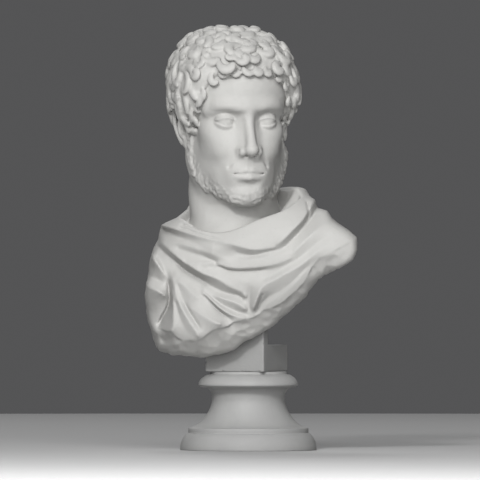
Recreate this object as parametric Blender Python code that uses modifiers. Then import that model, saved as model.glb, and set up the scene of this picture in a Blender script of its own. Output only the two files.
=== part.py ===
"""A Roman portrait bust in white marble, on a square support block and a turned socle.

Run with blender --background --python part.py, or from Blender's text editor.

The object stands on the origin with +Z up. The block's front faces -Y and the figure's left is +X.
The bust is carved as one solid. Its forms are signed distances on a grid, blended into one another
as a sculptor blends clay, and turned into a mesh at the end. They are laid out in grid units, shares
of the bust's height, so that the whole figure follows BUST_HEIGHT. The head has a frame of its own,
in shares of the height from chin to crown.
"""

import math
import random

import bmesh
import bpy
import numpy as np
import openvdb
from mathutils import Euler, Matrix, Vector

# Driving dimensions in metres
BUST_HEIGHT = 0.508
BUST_LIFT = 0.022
BLOCK_SIDE = 0.096
BLOCK_HEIGHT = 0.040
BLOCK_CENTRE = (-0.0025, -0.001)
SLAB_THICKNESS = 0.0175
SLAB_HEIGHT = 0.190
SOCLE_HEIGHT = 0.120
FOOT_RADIUS = 0.104
FOOT_RIM_HEIGHT = 0.0045
FOOT_MOULDING_HEIGHT = 0.0225
STEP_RADIUS = 0.0915
STEP_HEIGHT = 0.0065
WAIST_RADIUS = 0.0555
COLLAR_RADIUS = 0.0762
COLLAR_HEIGHT = 0.0175
COLLAR_LIP = 0.002
NECK_RING_RADIUS = 0.0588
NECK_RING_HEIGHT = 0.004
CLEARANCE = 0.0003
EDGE_WEAR = 0.0008

# Where the waist's narrowest place is, as a share of the way from the foot to the collar
WAIST_SHARE = 0.66

# How finely the solids are faceted
GRID_STEP = 1.7
BUST_TRIANGLES = 7400
SOCLE_STEPS = 36

# The sculptor's grid: the bust is this many units from its lowest edge to the top of its hair
BUST_UNITS = 333.0
UNIT = BUST_HEIGHT / BUST_UNITS
VIEW_TURN = math.radians(22.5)

# The head's pose, in grid units and degrees
HEAD_HEIGHT = 165.0
HEAD_PIVOT = (-10.0, -16.0, 240.0)
HEAD_PIVOT_SHARE = 0.5
HEAD_TURN = 37.0
HEAD_NOD = 4.0
HEAD_MIDDLE = (0, 0.04, 0.58)
HAIR_DEPTH = 0.052
HAIR_LEVELS = [(0, 0.775), (20, 0.77), (31, 0.73), (39, 0.65), (47, 0.57), (57, 0.47), (69, 0.37),
               (82, 0.34), (97, 0.54), (110, 0.54), (122, 0.30), (140, 0.16), (180, 0.10)]
WHORL = (0, 0.25, 1.02)
CURL_COUNT = 230
CURL_SEED = 7
BEARD_LINE = [(0.262, -0.03, 0.36), (0.246, -0.06, 0.24), (0.20, -0.14, 0.14), (0.13, -0.24, 0.09),
              (0.06, -0.32, 0.05)]

FAR = 60.0
BED_DROP = 0.010
LOW_CORNER = (-128.0, -104.0, -16.0)
HIGH_CORNER = (128.0, 92.0, 346.0)


def smooth_min(first, second, blend):
    """The union of two distances, with a fillet of about a quarter of blend."""
    if blend <= 0:
        return np.minimum(first, second)
    overlap = np.maximum(blend - np.abs(first - second), 0.0) / blend
    return np.minimum(first, second) - overlap * overlap * blend * 0.25


def smooth_max(first, second, blend):
    """The intersection of two distances, with a rounded edge."""
    return -smooth_min(-first, -second, blend)


def ease(value, low, high):
    """0 below low, 1 above high and a smooth step between."""
    share = np.clip((value - low) / (high - low), 0.0, 1.0)
    return share * share * (3.0 - 2.0 * share)


def ellipsoid(place, centre, radii, turn=(0, 0, 0)):
    """Distance to an ellipsoid, turned by the given degrees about X, Y and Z."""
    local = [axis - c for axis, c in zip(place, centre)]
    if any(turn):
        m = Euler([math.radians(a) for a in turn]).to_matrix()
        local = [sum(m[row][col] * local[row] for row in range(3)) for col in range(3)]
    near = np.sqrt(sum((axis / r) ** 2 for axis, r in zip(local, radii)))
    slope = np.sqrt(sum((axis / (r * r)) ** 2 for axis, r in zip(local, radii)))
    tiny = 1e-4
    return (near - 1.0) * (near + tiny) / (slope + tiny / min(radii))


def tube(place, points, radii):
    """Distance to a tapered tube through the points, with a radius at each."""
    nearest = None
    for start, end, r_start, r_end in zip(points, points[1:], radii, radii[1:]):
        run = [e - s for s, e in zip(start, end)]
        length = max(sum(c * c for c in run), 1e-9)
        away = [axis - s for axis, s in zip(place, start)]
        share = np.clip(sum(a * c for a, c in zip(away, run)) / length, 0.0, 1.0)
        gap = np.sqrt(sum((a - share * c) ** 2 for a, c in zip(away, run)))
        distance = gap - (r_start + (r_end - r_start) * share)
        nearest = distance if nearest is None else np.minimum(nearest, distance)
    return nearest


def flowing(points, per_span=6):
    """Points along a smooth Catmull-Rom curve through the given ones."""
    ends = [points[0], *points, points[-1]]
    found = []
    for before, start, end, after in zip(ends, ends[1:], ends[2:], ends[3:]):
        for step in range(per_span):
            t = step / per_span
            found.append(tuple(
                0.5 * (2 * b + (c - a) * t + (2 * a - 5 * b + 4 * c - d) * t * t
                       + (3 * b - a - 3 * c + d) * t ** 3)
                for a, b, c, d in zip(before, start, end, after)
            ))
    return found + [tuple(points[-1])]


class Clay:
    """Signed distances on a regular grid, in grid units, negative inside."""

    def __init__(self):
        self.axes = [
            np.arange(low, high, GRID_STEP, dtype=np.float32)
            for low, high in zip(LOW_CORNER, HIGH_CORNER)
        ]
        self.field = np.full([len(axis) for axis in self.axes], FAR, np.float32)

    def window(self, centre=None, reach=None):
        """The slices within reach of a point, and the coordinates there."""
        if centre is None:
            cut = (slice(None),) * 3
        else:
            cut = tuple(
                slice(*np.searchsorted(axis, (c - reach, c + reach)))
                for axis, c in zip(self.axes, centre)
            )
        shapes = ((-1, 1, 1), (1, -1, 1), (1, 1, -1))
        return cut, [axis[s].reshape(shape) for axis, s, shape in zip(self.axes, cut, shapes)]

    def add(self, shape, blend, centre=None, reach=None):
        cut, place = self.window(centre, reach)
        self.field[cut] = smooth_min(self.field[cut], shape(place), blend)

    def carve(self, shape, blend, centre=None, reach=None):
        cut, place = self.window(centre, reach)
        self.field[cut] = smooth_max(self.field[cut], -shape(place), blend)

    def at(self, points):
        """The distances at some points, read between the grid's own."""
        index = [
            np.clip((points[:, i] - self.axes[i][0]) / GRID_STEP, 0, len(self.axes[i]) - 1.001)
            for i in range(3)
        ]
        whole = [np.floor(i).astype(int) for i in index]
        part = [i - w for i, w in zip(index, whole)]
        total = 0.0
        for corner in np.ndindex(2, 2, 2):
            weight = 1.0
            for share, side in zip(part, corner):
                weight = weight * (share if side else 1.0 - share)
            total = total + weight * self.field[tuple(w + side for w, side in zip(whole, corner))]
        return total

    def surface(self, origin, directions, reach):
        """Where rays from the origin leave the clay for the last time, and the normals there."""
        steps = np.arange(reach, 0.0, -GRID_STEP * 0.5)
        depth = np.stack([self.at(origin + directions * step) for step in steps])
        first = np.argmax(depth < 0, axis=0)
        points = origin + directions * steps[first][:, None]
        for _ in range(4):
            points = points - directions * self.at(points)[:, None] * 0.7
        nudge = GRID_STEP * 1.5
        normals = np.stack(
            [self.at(points + nudge * e) - self.at(points - nudge * e) for e in np.eye(3)], axis=1
        )
        return points, normals / np.linalg.norm(normals, axis=1)[:, None]


HEAD_ROTATION = (
    Matrix.Rotation(math.radians(HEAD_TURN), 3, "Z") @ Matrix.Rotation(math.radians(HEAD_NOD), 3, "X")
)


def from_head(point):
    """A point in head shares, as a point in grid units."""
    raised = Vector((point[0], point[1], point[2] - HEAD_PIVOT_SHARE)) * HEAD_HEIGHT
    return tuple(HEAD_ROTATION @ raised + Vector(HEAD_PIVOT))


def in_head(place):
    """Grid coordinates as head shares: x to the figure's left, y to the back and z up from the chin."""
    away = [axis - c for axis, c in zip(place, HEAD_PIVOT)]
    m = HEAD_ROTATION
    turned = [sum(m[row][col] * away[row] for row in range(3)) / HEAD_HEIGHT for col in range(3)]
    turned[2] = turned[2] + HEAD_PIVOT_SHARE
    return turned


def both_sides(point):
    return [point, (-point[0], *point[1:])] if point[0] else [point]


class HeadTools:
    """Adds to or carves the clay with forms given in head shares, on both sides of the face."""

    def __init__(self, clay):
        self.clay = clay

    def work(self, tool, shape, blend, middle, reach):
        tool(
            lambda place: shape(in_head(place)) * HEAD_HEIGHT,
            blend * HEAD_HEIGHT, from_head(middle), (reach + blend + 0.03) * HEAD_HEIGHT,
        )

    def mass(self, centre, radii, blend, turn=(0, 0, 0), carve=False):
        tool = self.clay.carve if carve else self.clay.add
        for middle in both_sides(centre):
            side = math.copysign(1, middle[0] * centre[0]) if centre[0] else 1
            lean = (turn[0], turn[1] * side, turn[2] * side)
            self.work(
                tool, lambda place: ellipsoid(place, middle, radii, lean), blend, middle, max(radii)
            )

    def line(self, points, radii, blend, carve=False, mirrored=True, smooth=True):
        tool = self.clay.carve if carve else self.clay.add
        path = flowing([(*p, r) for p, r in zip(points, radii)], 4) if smooth else [
            (*p, r) for p, r in zip(points, radii)]
        for side in ((1, -1) if mirrored else (1,)):
            spots = [(p[0] * side, p[1], p[2]) for p in path]
            low, high = np.min(spots, axis=0), np.max(spots, axis=0)
            self.work(
                tool, lambda place: tube(place, spots, [p[3] for p in path]), blend,
                (low + high) / 2, float(np.max(high - low)) / 2 + max(radii),
            )


def model_skull(head):
    head.mass((0, 0.055, 0.640), (0.322, 0.385, 0.350), 0.0)
    head.mass((0, -0.130, 0.680), (0.284, 0.262, 0.230), 0.10)
    head.mass((0.115, 0.030, 0.785), (0.165, 0.285, 0.180), 0.10)
    head.mass((0, -0.165, 0.350), (0.200, 0.232, 0.230), 0.10)
    head.mass((0.160, -0.210, 0.430), (0.092, 0.108, 0.070), 0.08)
    head.mass((0.108, -0.262, 0.335), (0.100, 0.112, 0.105), 0.08)
    head.line([(0.225, 0.02, 0.40), (0.210, -0.02, 0.19), (0.06, -0.335, 0.065)],
              [0.058, 0.060, 0.055], 0.10)
    head.mass((0.165, -0.100, 0.290), (0.078, 0.140, 0.150), 0.08)
    head.mass((0, -0.150, 0.175), (0.190, 0.222, 0.150), 0.08)
    head.mass((0.085, -0.270, 0.170), (0.085, 0.085, 0.090), 0.07)
    head.mass((0, -0.345, 0.068), (0.080, 0.066, 0.060), 0.05)


def model_eyes(head):
    head.line([(0, -0.374, 0.588), (0.09, -0.372, 0.594), (0.17, -0.322, 0.592), (0.22, -0.25, 0.560)],
              [0.028, 0.031, 0.029, 0.018], 0.06)
    head.mass((0.128, -0.424, 0.508), (0.078, 0.076, 0.046), 0.05, (0, 8, -18), carve=True)
    head.mass((0.044, -0.428, 0.520), (0.022, 0.034, 0.032), 0.04, carve=True)
    head.mass((0.126, -0.300, 0.500), (0.058, 0.058, 0.056), 0.004)
    head.line([(0.064, -0.340, 0.492), (0.092, -0.366, 0.521), (0.128, -0.370, 0.530),
               (0.166, -0.350, 0.521), (0.196, -0.304, 0.494)],
              [0.007, 0.012, 0.014, 0.013, 0.010], 0.014)
    head.line([(0.066, -0.340, 0.491), (0.096, -0.358, 0.477), (0.128, -0.362, 0.472),
               (0.164, -0.345, 0.476), (0.194, -0.304, 0.491)],
              [0.006, 0.009, 0.010, 0.010, 0.007], 0.014)


def model_nose(head):
    head.line([(0, -0.335, 0.560), (0, -0.360, 0.450), (0, -0.400, 0.345)],
              [0.034, 0.046, 0.056], 0.05, mirrored=False)
    head.line([(0, -0.376, 0.565), (0, -0.404, 0.490), (0, -0.450, 0.400), (0, -0.474, 0.350)],
              [0.024, 0.023, 0.028, 0.034], 0.030, mirrored=False)
    head.mass((0, -0.474, 0.340), (0.038, 0.038, 0.033), 0.02)
    head.mass((0.049, -0.424, 0.328), (0.030, 0.044, 0.030), 0.018)
    head.line([(0, -0.466, 0.318), (0, -0.410, 0.298)], [0.016, 0.018], 0.02, mirrored=False)
    head.mass((0.025, -0.440, 0.300), (0.012, 0.024, 0.014), 0.010, carve=True)


def model_mouth(head):
    head.mass((0, -0.365, 0.210), (0.115, 0.062, 0.090), 0.07)
    head.line([(0.092, -0.376, 0.196), (0.050, -0.410, 0.207), (0.018, -0.427, 0.216), (0, -0.425, 0.211)],
              [0.006, 0.014, 0.017, 0.016], 0.014)
    head.line([(0.086, -0.376, 0.190), (0.048, -0.406, 0.172), (0, -0.420, 0.168)],
              [0.006, 0.016, 0.020], 0.014)
    head.line([(0.100, -0.390, 0.194), (0.050, -0.430, 0.192), (0.016, -0.448, 0.190), (0, -0.449, 0.187)],
              [0.004, 0.006, 0.006, 0.006], 0.010, carve=True)
    head.line([(0, -0.444, 0.282), (0, -0.447, 0.240)], [0.010, 0.012], 0.014, carve=True, mirrored=False)
    head.mass((0, -0.430, 0.124), (0.070, 0.028, 0.022), 0.035, carve=True)
    head.line([(0.068, -0.432, 0.330), (0.098, -0.408, 0.285), (0.116, -0.384, 0.235)],
              [0.005, 0.006, 0.003], 0.030, carve=True)


def model_ears(head):
    head.mass((0.300, 0.045, 0.435), (0.034, 0.066, 0.112), 0.02, (12, -8, -14))
    head.line([(0.318, -0.015, 0.450), (0.328, 0.000, 0.520), (0.340, 0.050, 0.545), (0.344, 0.098, 0.505),
               (0.334, 0.092, 0.420), (0.316, 0.050, 0.345), (0.305, 0.015, 0.335)],
              [0.010, 0.013, 0.014, 0.014, 0.013, 0.018, 0.014], 0.014)
    head.mass((0.340, 0.040, 0.450), (0.014, 0.032, 0.060), 0.014, (12, 0, 0), carve=True)


def model_head(clay):
    head = HeadTools(clay)
    model_skull(head)
    model_eyes(head)
    model_nose(head)
    model_mouth(head)
    model_ears(head)


# The cloak's relief is laid out on the picture plane: across to the right of the socle's axis, and up
# from the bust's lowest edge, in grid units. The cloth is drawn over wires, the crests and the troughs
# of its folds; each is a path of points across, up and out.
PICTURE_STEP = 1.0
PICTURE_LOW = (-132.0, -20.0)
PICTURE_SIZE = (264, 232)
FRONT_WIRES = [
    # the collar: its crest on the left and in front, and the trough under it
    [(-90, 133, 3), (-75, 129, 4.5), (-60, 124.5, 5), (-45, 120.5, 5.5), (-25, 116, 5.5), (-8, 111.5, 5.5),
     (4, 109, 4.5), (16, 109.5, 3), (26, 111, 2.5)],
    [(-90, 129, -2), (-80, 125.5, -3), (-70, 121, -3), (-55, 115.5, -2.5), (-42, 111, -2), (-28, 108, -2),
     (-15, 107.5, -1.5), (-5, 104, -1.5), (6, 103, -1.5), (16, 105.5, -1), (26, 108, -1)],
    [(66, 158, 3), (60, 147, 4), (53, 137, 4.5), (45, 129, 5), (36, 120, 4.5), (29, 114, 3)],
    [(72, 157, -2), (66, 145, -3), (60, 137, -3.5), (53, 129, -3.5), (46, 121, -3), (39, 114, -2.5),
     (32, 109, -1.5), (26, 108, -1)],
    # the swags across the chest
    [(-8, 99, 1), (6, 100, 1.5), (20, 102, 1.5), (34, 104, 1), (44, 109, 0)],
    [(-84, 118, 0), (-66, 114, 1.5), (-50, 109, 1.5), (-34, 103.5, 1.5), (-20, 98, 1.5)],
    [(-70, 109, -0.5), (-58, 106, -1.5), (-46, 102.5, -2), (-38, 99, -2), (-32, 96, -1.5)],
    [(-64, 96, 1.5), (-53, 95, 2.5), (-43, 95, 2), (-35, 96, 1)],
    [(-30, 94.5, 1.5), (-23, 92, 2.2), (-12, 90.5, 2.4), (2, 91, 2.4), (14, 92, 2.2), (28, 94.5, 1.6),
     (42, 100, 1)],
    [(-38, 91.5, 0), (-28, 89.5, -1), (-20, 86.5, -1.2), (-8, 86, -1.2), (6, 86.5, -1.2), (18, 88, -1.2),
     (32, 91.5, -1), (44, 97, -1)],
    [(-46, 90, 1), (-30, 84, 1), (-12, 79, 1), (0, 76, 1)],
    # the long diagonal fold from the arm to the middle
    [(-86, 115, 0.5), (-78, 107, 1.5), (-70, 100, 2.5), (-61, 94, 3), (-53, 88.5, 3.5), (-45, 84.5, 3.5),
     (-35, 81, 3), (-26, 76, 2.5), (-18, 71, 2), (-8, 67, 1.5), (-3, 62, 1.5)],
    [(-92, 113, -2), (-85, 106, -4), (-76, 99, -6), (-68, 91.5, -8), (-60, 85.5, -8.5), (-52, 81, -8),
     (-44, 76, -7), (-35, 71, -6), (-26, 66.5, -5), (-18, 64, -4), (-10, 62.5, -3.5), (-5, 59, -3)],
    # the folds under it that run down to the right
    [(-72, 84, -3), (-62, 76, -2.5), (-53, 69, -2), (-47, 66, -2)],
    [(-70, 77, -0.5), (-60, 68, 1), (-51, 60, 2.5)],
    [(-44, 70, -2), (-36, 63.5, -1.5), (-28, 60.5, 1.5), (-18, 57.5, 2.5), (-9, 53.5, 3), (-3, 49, 3)],
    [(-43, 66.5, -1.5), (-35, 60, -1.5), (-27, 54, -1), (-19, 50, -1), (-11, 46.5, -1), (-2, 44, -1)],
    [(-46, 65.5, 0), (-39, 59.5, 3), (-31, 52.5, 4.5), (-23, 46.5, 5), (-14, 42.5, 4.5), (-4, 40.5, 3)],
    [(-46, 63, -1), (-41, 57.5, -1), (-35, 51.5, -1), (-29, 46, -0.5), (-23, 42, 0), (-17, 38.5, 0.5)],
    # the fan at the lower left
    [(-58, 50, 4), (-48, 44, 5.5), (-38, 38, 7), (-28, 34, 7)],
    [(-70, 72, -1.5), (-67, 62, 0), (-62, 51, 1.5), (-56, 41, 3), (-48, 30, 4)],
    [(-76, 80, -1.5), (-74, 70, 1), (-71, 59, 3), (-66.5, 49, 5), (-61, 39.5, 6.5), (-54, 29, 7.5),
     (-50, 22, 7.5)],
    [(-73, 56, 1.5), (-70, 45, 2.5), (-66, 35, 4), (-60, 25, 5), (-56, 19, 5.5)],
    [(-76.5, 66, -0.5), (-75.5, 56, 2), (-75, 45, 4.5), (-75, 34, 6), (-77, 27, 6)],
    [(-80, 84, -4), (-80, 72, -6), (-79, 60, -7.5), (-80.5, 50, -7.5), (-85, 41, -6), (-90, 31, -4)],
    # the arm's shaded side
    [(-104, 72, 3), (-96, 69, 4), (-88, 65, 3), (-84, 62, 0)],
    [(-102, 82, -2), (-94, 80, -2.5), (-87, 76, -4)],
    [(-98, 104, 2), (-93, 96, 3), (-88, 89, 1), (-84, 82, -2)],
    [(-99, 96, -1), (-96, 88, -2)],
    [(-90, 102, -2), (-86, 93, -2.5), (-82, 84, -3.5)],
    [(-104, 50, -3), (-96, 46, -3.5), (-90, 42, -4.5)],
    # the right shoulder and its folds
    [(86, 142, 1), (74, 133, 2), (64, 125, 3), (55, 116, 3), (46, 107, 2)],
    [(80, 122, 0), (70, 116, 0), (58, 106, 0), (47, 98, -0.5), (36, 91, -1), (26, 85, -1),
     (16, 80, -0.5)],
    [(84, 117, 1), (76, 111, 1.5), (67, 105.5, 2.5), (58, 98, 3), (49, 91, 3.2), (39, 86, 3.4),
     (29, 80.5, 3.6), (19, 75.5, 4.2), (13, 70.5, 5), (10, 64, 5.5), (7.5, 57, 5), (5, 50, 3.5)],
    [(2, 70, 0), (1, 63, -1), (1, 56, -1), (1, 48, -1)],
    [(66, 97, 1), (56, 88.5, 0.6), (47, 79.5, 0.6), (38, 72, 0.5), (29, 66, 0), (21, 62, -0.6),
     (15, 57, -2), (11, 50, -2), (7, 45, -1.5)],
    [(72, 101, 1), (62, 93, 1), (54, 84, 1.5), (46, 74.5, 1.5), (38, 67, 1), (28, 60, 0.5), (19, 54, 0)],
    [(92, 122, 1), (104, 116, 1)],
    [(-60, 172, 0), (0, 180, 0), (60, 176, 0), (112, 130, 0), (120, 90, 0), (60, 40, 0), (0, 0, 2),
     (-50, -8, 4), (-96, -6, 2), (-120, 40, 0), (-120, 100, 0), (-100, 140, 0), (-60, 172, 0)],
]
BACK_WIRES = [
    [(-70, 150, 2), (-20, 136, 4), (30, 120, 4), (86, 98, 2)],
    [(-74, 138, -2), (-22, 120, -3), (28, 104, -3), (84, 84, -2)],
    [(-76, 126, 2), (-26, 106, 3.5), (24, 90, 3.5), (80, 66, 2)],
    [(-80, 110, -2), (-32, 92, -3), (18, 76, -3), (70, 52, -2)],
    [(-86, 96, 2), (-50, 82, 3), (-6, 68, 3), (50, 44, 2)],
    [(-96, 60, -2), (-60, 58, -2), (-20, 50, -2)],
    [(-120, 180, 0), (120, 180, 0), (120, 20, 0), (-120, 20, 0), (-120, 180, 0)],
]
RIM_UPPER = [(-104, 35), (-89, 30), (-82, 27), (-77, 26), (-71, 20), (-65, 18), (-52, 17.5), (-45, 21),
             (-40, 25), (-35, 29), (-25, 31), (-20, 32), (-15, 36), (-5, 38.5), (5, 41), (12, 45),
             (15, 49), (25, 51), (30, 54), (36, 57), (41, 62), (48, 68), (55, 75), (60, 84), (64, 92),
             (70, 100), (80, 105), (88, 109), (97, 114), (114, 122)]
CHEST_OUTLINE = [
    (-88, 132), (-90, 117), (-95, 108), (-102, 85), (-106, 55), (-100, 32), (-96, 20), (-93, 10),
    (-89, 5), (-78, 2), (-57, 0), (-43, -1), (-26, 3), (-14, 7), (-5, 14), (13, 22), (29, 34),
    (42, 46), (55, 57), (64, 69), (71, 78), (82, 85), (96, 91), (105, 98), (109, 108), (109, 120),
    (101, 127), (90, 134), (84, 139), (79, 147), (71, 150), (69, 157), (66, 163), (58, 170),
    (40, 176), (0, 190), (-60, 180), (-58, 158), (-62, 147), (-72, 139),
]
RIM_SLOPE = 0.36
RIM_DEPTH = 12.0
RELAX_ROUNDS = 60
CLOTH_SOFTNESS = 2


def picture_plane(place):
    """Grid coordinates as the picture plane's: how far across it, and how far behind the axis."""
    across = place[0] * math.cos(VIEW_TURN) + place[1] * math.sin(VIEW_TURN)
    behind = place[1] * math.cos(VIEW_TURN) - place[0] * math.sin(VIEW_TURN)
    return across, behind


def along_path(points, across, up):
    """Distance from a path, and its side (1 is left of it)."""
    best, side = np.full(across.shape, 1e9), np.ones(across.shape)
    for start, end in zip(points, points[1:]):
        run = (end[0] - start[0], end[1] - start[1])
        share = ((across - start[0]) * run[0] + (up - start[1]) * run[1]) / math.dist(start, end) ** 2
        held = np.clip(share, 0.0, 1.0)
        gap = np.hypot(across - start[0] - held * run[0], up - start[1] - held * run[1])
        turn = run[0] * (up - start[1]) - run[1] * (across - start[0])
        nearer = gap < best
        best = np.where(nearer, gap, best)
        side = np.where(nearer, np.sign(turn), side)
    return best, side


def closed_outline(points, across, up):
    """Signed distance to a closed outline that runs anticlockwise, negative inside."""
    ring = [*points, points[0]]
    gap, _ = along_path(ring, across, up)
    inside = np.zeros(across.shape, bool)
    for start, end in zip(ring, ring[1:]):
        spans = (start[1] > up) != (end[1] > up)
        rise = (end[1] - start[1]) or 1e-9
        inside ^= spans & (across < start[0] + (up - start[1]) / rise * (end[0] - start[0]))
    return np.where(inside, -gap, gap)


def drawn_over(height, held):
    """A cloth drawn tight over the held cells, found from a coarse grid down to the fine one."""
    cloth = None
    columns, rows = np.nonzero(held)
    for coarse in (16, 8, 4, 2, 1):
        shape = [-(-count // coarse) for count in held.shape]
        total, count = np.zeros(shape), np.zeros(shape)
        np.add.at(total, (columns // coarse, rows // coarse), height[held])
        np.add.at(count, (columns // coarse, rows // coarse), 1.0)
        fixed = count > 0
        wires = total / np.maximum(count, 1.0)
        if cloth is None:
            cloth = np.zeros(shape)
        else:
            cloth = np.repeat(np.repeat(cloth, 2, 0), 2, 1)[:shape[0], :shape[1]]
        for _ in range(RELAX_ROUNDS):
            cloth = np.where(fixed, wires, cloth)
            wide = np.pad(cloth, 1, mode="edge")
            cloth = 0.25 * (wide[2:, 1:-1] + wide[:-2, 1:-1] + wide[1:-1, 2:] + wide[1:-1, :-2])
        cloth = np.where(fixed, wires, cloth)
    return cloth


def softened(table, rounds):
    """The table with its neighbouring cells blended, once for each round."""
    for _ in range(rounds):
        wide = np.pad(table, 1, mode="edge")
        table = 0.25 * wide[2:, :] + 0.5 * wide[1:-1, :] + 0.25 * wide[:-2, :]
        table = 0.25 * table[:, 2:] + 0.5 * table[:, 1:-1] + 0.25 * table[:, :-2]
    return table


class Picture:
    """Tables over the picture plane: the cloak's relief in front and behind, its rim and outline."""

    def __init__(self):
        across = PICTURE_LOW[0] + PICTURE_STEP * np.arange(PICTURE_SIZE[0])
        up = PICTURE_LOW[1] + PICTURE_STEP * np.arange(PICTURE_SIZE[1])
        self.across, self.up = np.meshgrid(across, up, indexing="ij")
        self.front = self.cloth(FRONT_WIRES) - self.rim()
        self.back = self.cloth(BACK_WIRES)
        self.outline = closed_outline(CHEST_OUTLINE, self.across, self.up)

    def cloth(self, wires):
        """The height of a cloth drawn over wires."""
        held, height = np.zeros(self.across.shape, bool), np.zeros(self.across.shape)
        for wire in wires:
            longest = max(math.dist(a[:2], b[:2]) for a, b in zip(wire, wire[1:]))
            for across, up, out in flowing(wire, 1 + int(longest / PICTURE_STEP)):
                column = min(round((across - PICTURE_LOW[0]) / PICTURE_STEP), held.shape[0] - 1)
                row = min(round((up - PICTURE_LOW[1]) / PICTURE_STEP), held.shape[1] - 1)
                held[column, row], height[column, row] = True, out
        return softened(drawn_over(height, held), CLOTH_SOFTNESS)

    def rim(self):
        """How far the broken edge falls back below the cloak's lower border."""
        gap, side = along_path(RIM_UPPER, self.across, self.up)
        return np.minimum(np.maximum(-side * gap, 0.0) * RIM_SLOPE, RIM_DEPTH)

    def read(self, table, across, up):
        """The table's values at picture coordinates, read between its own."""
        column = np.clip((across - PICTURE_LOW[0]) / PICTURE_STEP, 0, PICTURE_SIZE[0] - 1.001)
        row = np.clip((up - PICTURE_LOW[1]) / PICTURE_STEP, 0, PICTURE_SIZE[1] - 1.001)
        i, j = np.floor(column).astype(int), np.floor(row).astype(int)
        a, b = column - i, row - j
        return ((1 - a) * (1 - b) * table[i, j] + a * (1 - b) * table[i + 1, j]
                + (1 - a) * b * table[i, j + 1] + a * b * table[i + 1, j + 1])


def model_chest(clay):
    """The chest, shoulders and arms under the cloak, as one smooth mass."""
    masses = [
        ((-4, -6, 88), (86, 54, 100), 0),
        ((-26, -32, 62), (72, 40, 84), 22),
        ((40, -22, 96), (58, 42, 62), 22),
    ]
    for centre, radii, blend in masses:
        clay.add(lambda place: ellipsoid(place, centre, radii), blend)
    limbs = [
        ([(-66, 4, 104), (74, 2, 116)], [34, 34], 24),
        ([(-72, 2, 98), (-76, -6, 16)], [31, 36], 20),
        ([(72, 4, 114), (98, -6, 102)], [32, 38], 18),
        ([(-12, 4, 124), (-12, -2, 168)], [52, 38], 20),
    ]
    for points, radii, blend in limbs:
        clay.add(lambda place: tube(place, points, radii), blend)


def dress_chest(clay, picture):
    """The cloak's folds and roll, its broken lower edge and the opening for the neck."""
    _, place = clay.window()
    across, behind = picture_plane(place)
    across, up = np.broadcast_arrays(across, place[2])
    facing = 1.0 - ease(behind, 0.0, 32.0)
    clay.field -= picture.read(picture.front, across, up) * facing
    clay.field -= picture.read(picture.back, across, up) * ease(behind, 4.0, 34.0)
    clay.carve(lambda spot: ellipsoid(spot, (-12, -22, 168), (56, 70, 55)), 4.0)
    roll = flowing([(-8, -66, 109), (-46, -50, 116), (-64, -12, 128), (-54, 32, 146), (-10, 50, 156),
                    (34, 38, 162), (54, 4, 160), (48, -34, 139), (24, -58, 118), (-8, -66, 109)], 4)
    clay.add(lambda spot: tube(spot, roll, [8.5] * len(roll)), 8.0)
    clay.field = smooth_max(clay.field, picture.read(picture.outline, across, up), 7.0)


def hollow_back(clay):
    clay.carve(lambda place: ellipsoid(place, (0, 38, 22), (72, 78, 78)), 5.0)


def model_neck(clay):
    clay.add(lambda place: ellipsoid(place, (-10, -22, 112), (52, 38, 26)), 10.0)
    neck = [(-12, 0, 104), (-13, -6, 158), (-11, -6, 205)]
    clay.add(lambda place: tube(place, neck, [50, 43, 44]), 14.0)
    for cord in ([(-48, 4, 200), (-42, -22, 160), (-16, -44, 120)],
                 [(24, 16, 200), (20, -18, 160), (-6, -46, 120)]):
        clay.add(lambda place: tube(place, flowing(cord), [8.0] * 13), 14.0)


def spread(count):
    """Directions evenly spread over a sphere."""
    index = np.arange(count) + 0.5
    height = 1.0 - 2.0 * index / count
    angle = math.pi * (1.0 + math.sqrt(5.0)) * index
    ring = np.sqrt(1.0 - height * height)
    return np.stack([ring * np.cos(angle), ring * np.sin(angle), height], axis=1)


def hair_level(across, back):
    """The lowest level of the hair round the head, in head shares: fringe, sideburn, ear and nape."""
    angle = np.degrees(np.arctan2(np.abs(across), 0.04 - back))
    return np.interp(angle, *zip(*HAIR_LEVELS))


def lock_path(size, thick, turns, tail, lift):
    """A lock in its own plane: a tail that runs down into a curl, which stands out as it winds in."""
    found = [(size + 0.10 * tail, tail, -0.6 * lift, 0.55 * thick),
             (size, 0.5 * tail, -0.2 * lift, 0.9 * thick)]
    count = max(4, round(9 * turns))
    for step in range(count + 1):
        share = step / count
        angle = -turns * 2.0 * math.pi * share
        radius = size * (1.0 - 0.70 * share)
        found.append((radius * math.cos(angle), radius * math.sin(angle), lift * share,
                      thick * (1.05 - 0.25 * share)))
    return found


def set_lock(clay, spot, normal, flow, hand, lock, blend):
    """Lay one lock on the surface: its tail comes against the flow and its curl is left or right."""
    normal = Vector(normal)
    down = (Vector(flow) - normal * normal.dot(Vector(flow))).normalized()
    side = down.cross(normal) * hand
    path = [Vector(spot) + side * x - down * y + normal * z for x, y, z, _ in lock]
    middle = sum(path, Vector()) / len(path)
    reach = max((p - middle).length for p in path) + max(p[3] for p in lock) + blend + GRID_STEP
    clay.add(
        lambda place: tube(place, [tuple(p) for p in path], [p[3] for p in lock]),
        blend, tuple(middle), reach,
    )


def hair_cap(clay, scalp):
    """The mass of the hair under its curls, thicker at the sides than on the crown."""
    _, place = clay.window()
    across, back, up = np.broadcast_arrays(*in_head(place))
    depth = HAIR_DEPTH * (0.62 + 0.38 * (1.0 - ease(up, 0.80, 1.0)))
    cap = scalp.field - depth * HEAD_HEIGHT
    cap = smooth_max(cap, (hair_level(across, back) + 0.015 - up) * HEAD_HEIGHT, 8.0)
    clay.field = smooth_min(clay.field, cap.astype(np.float32), 4.0)


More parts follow.
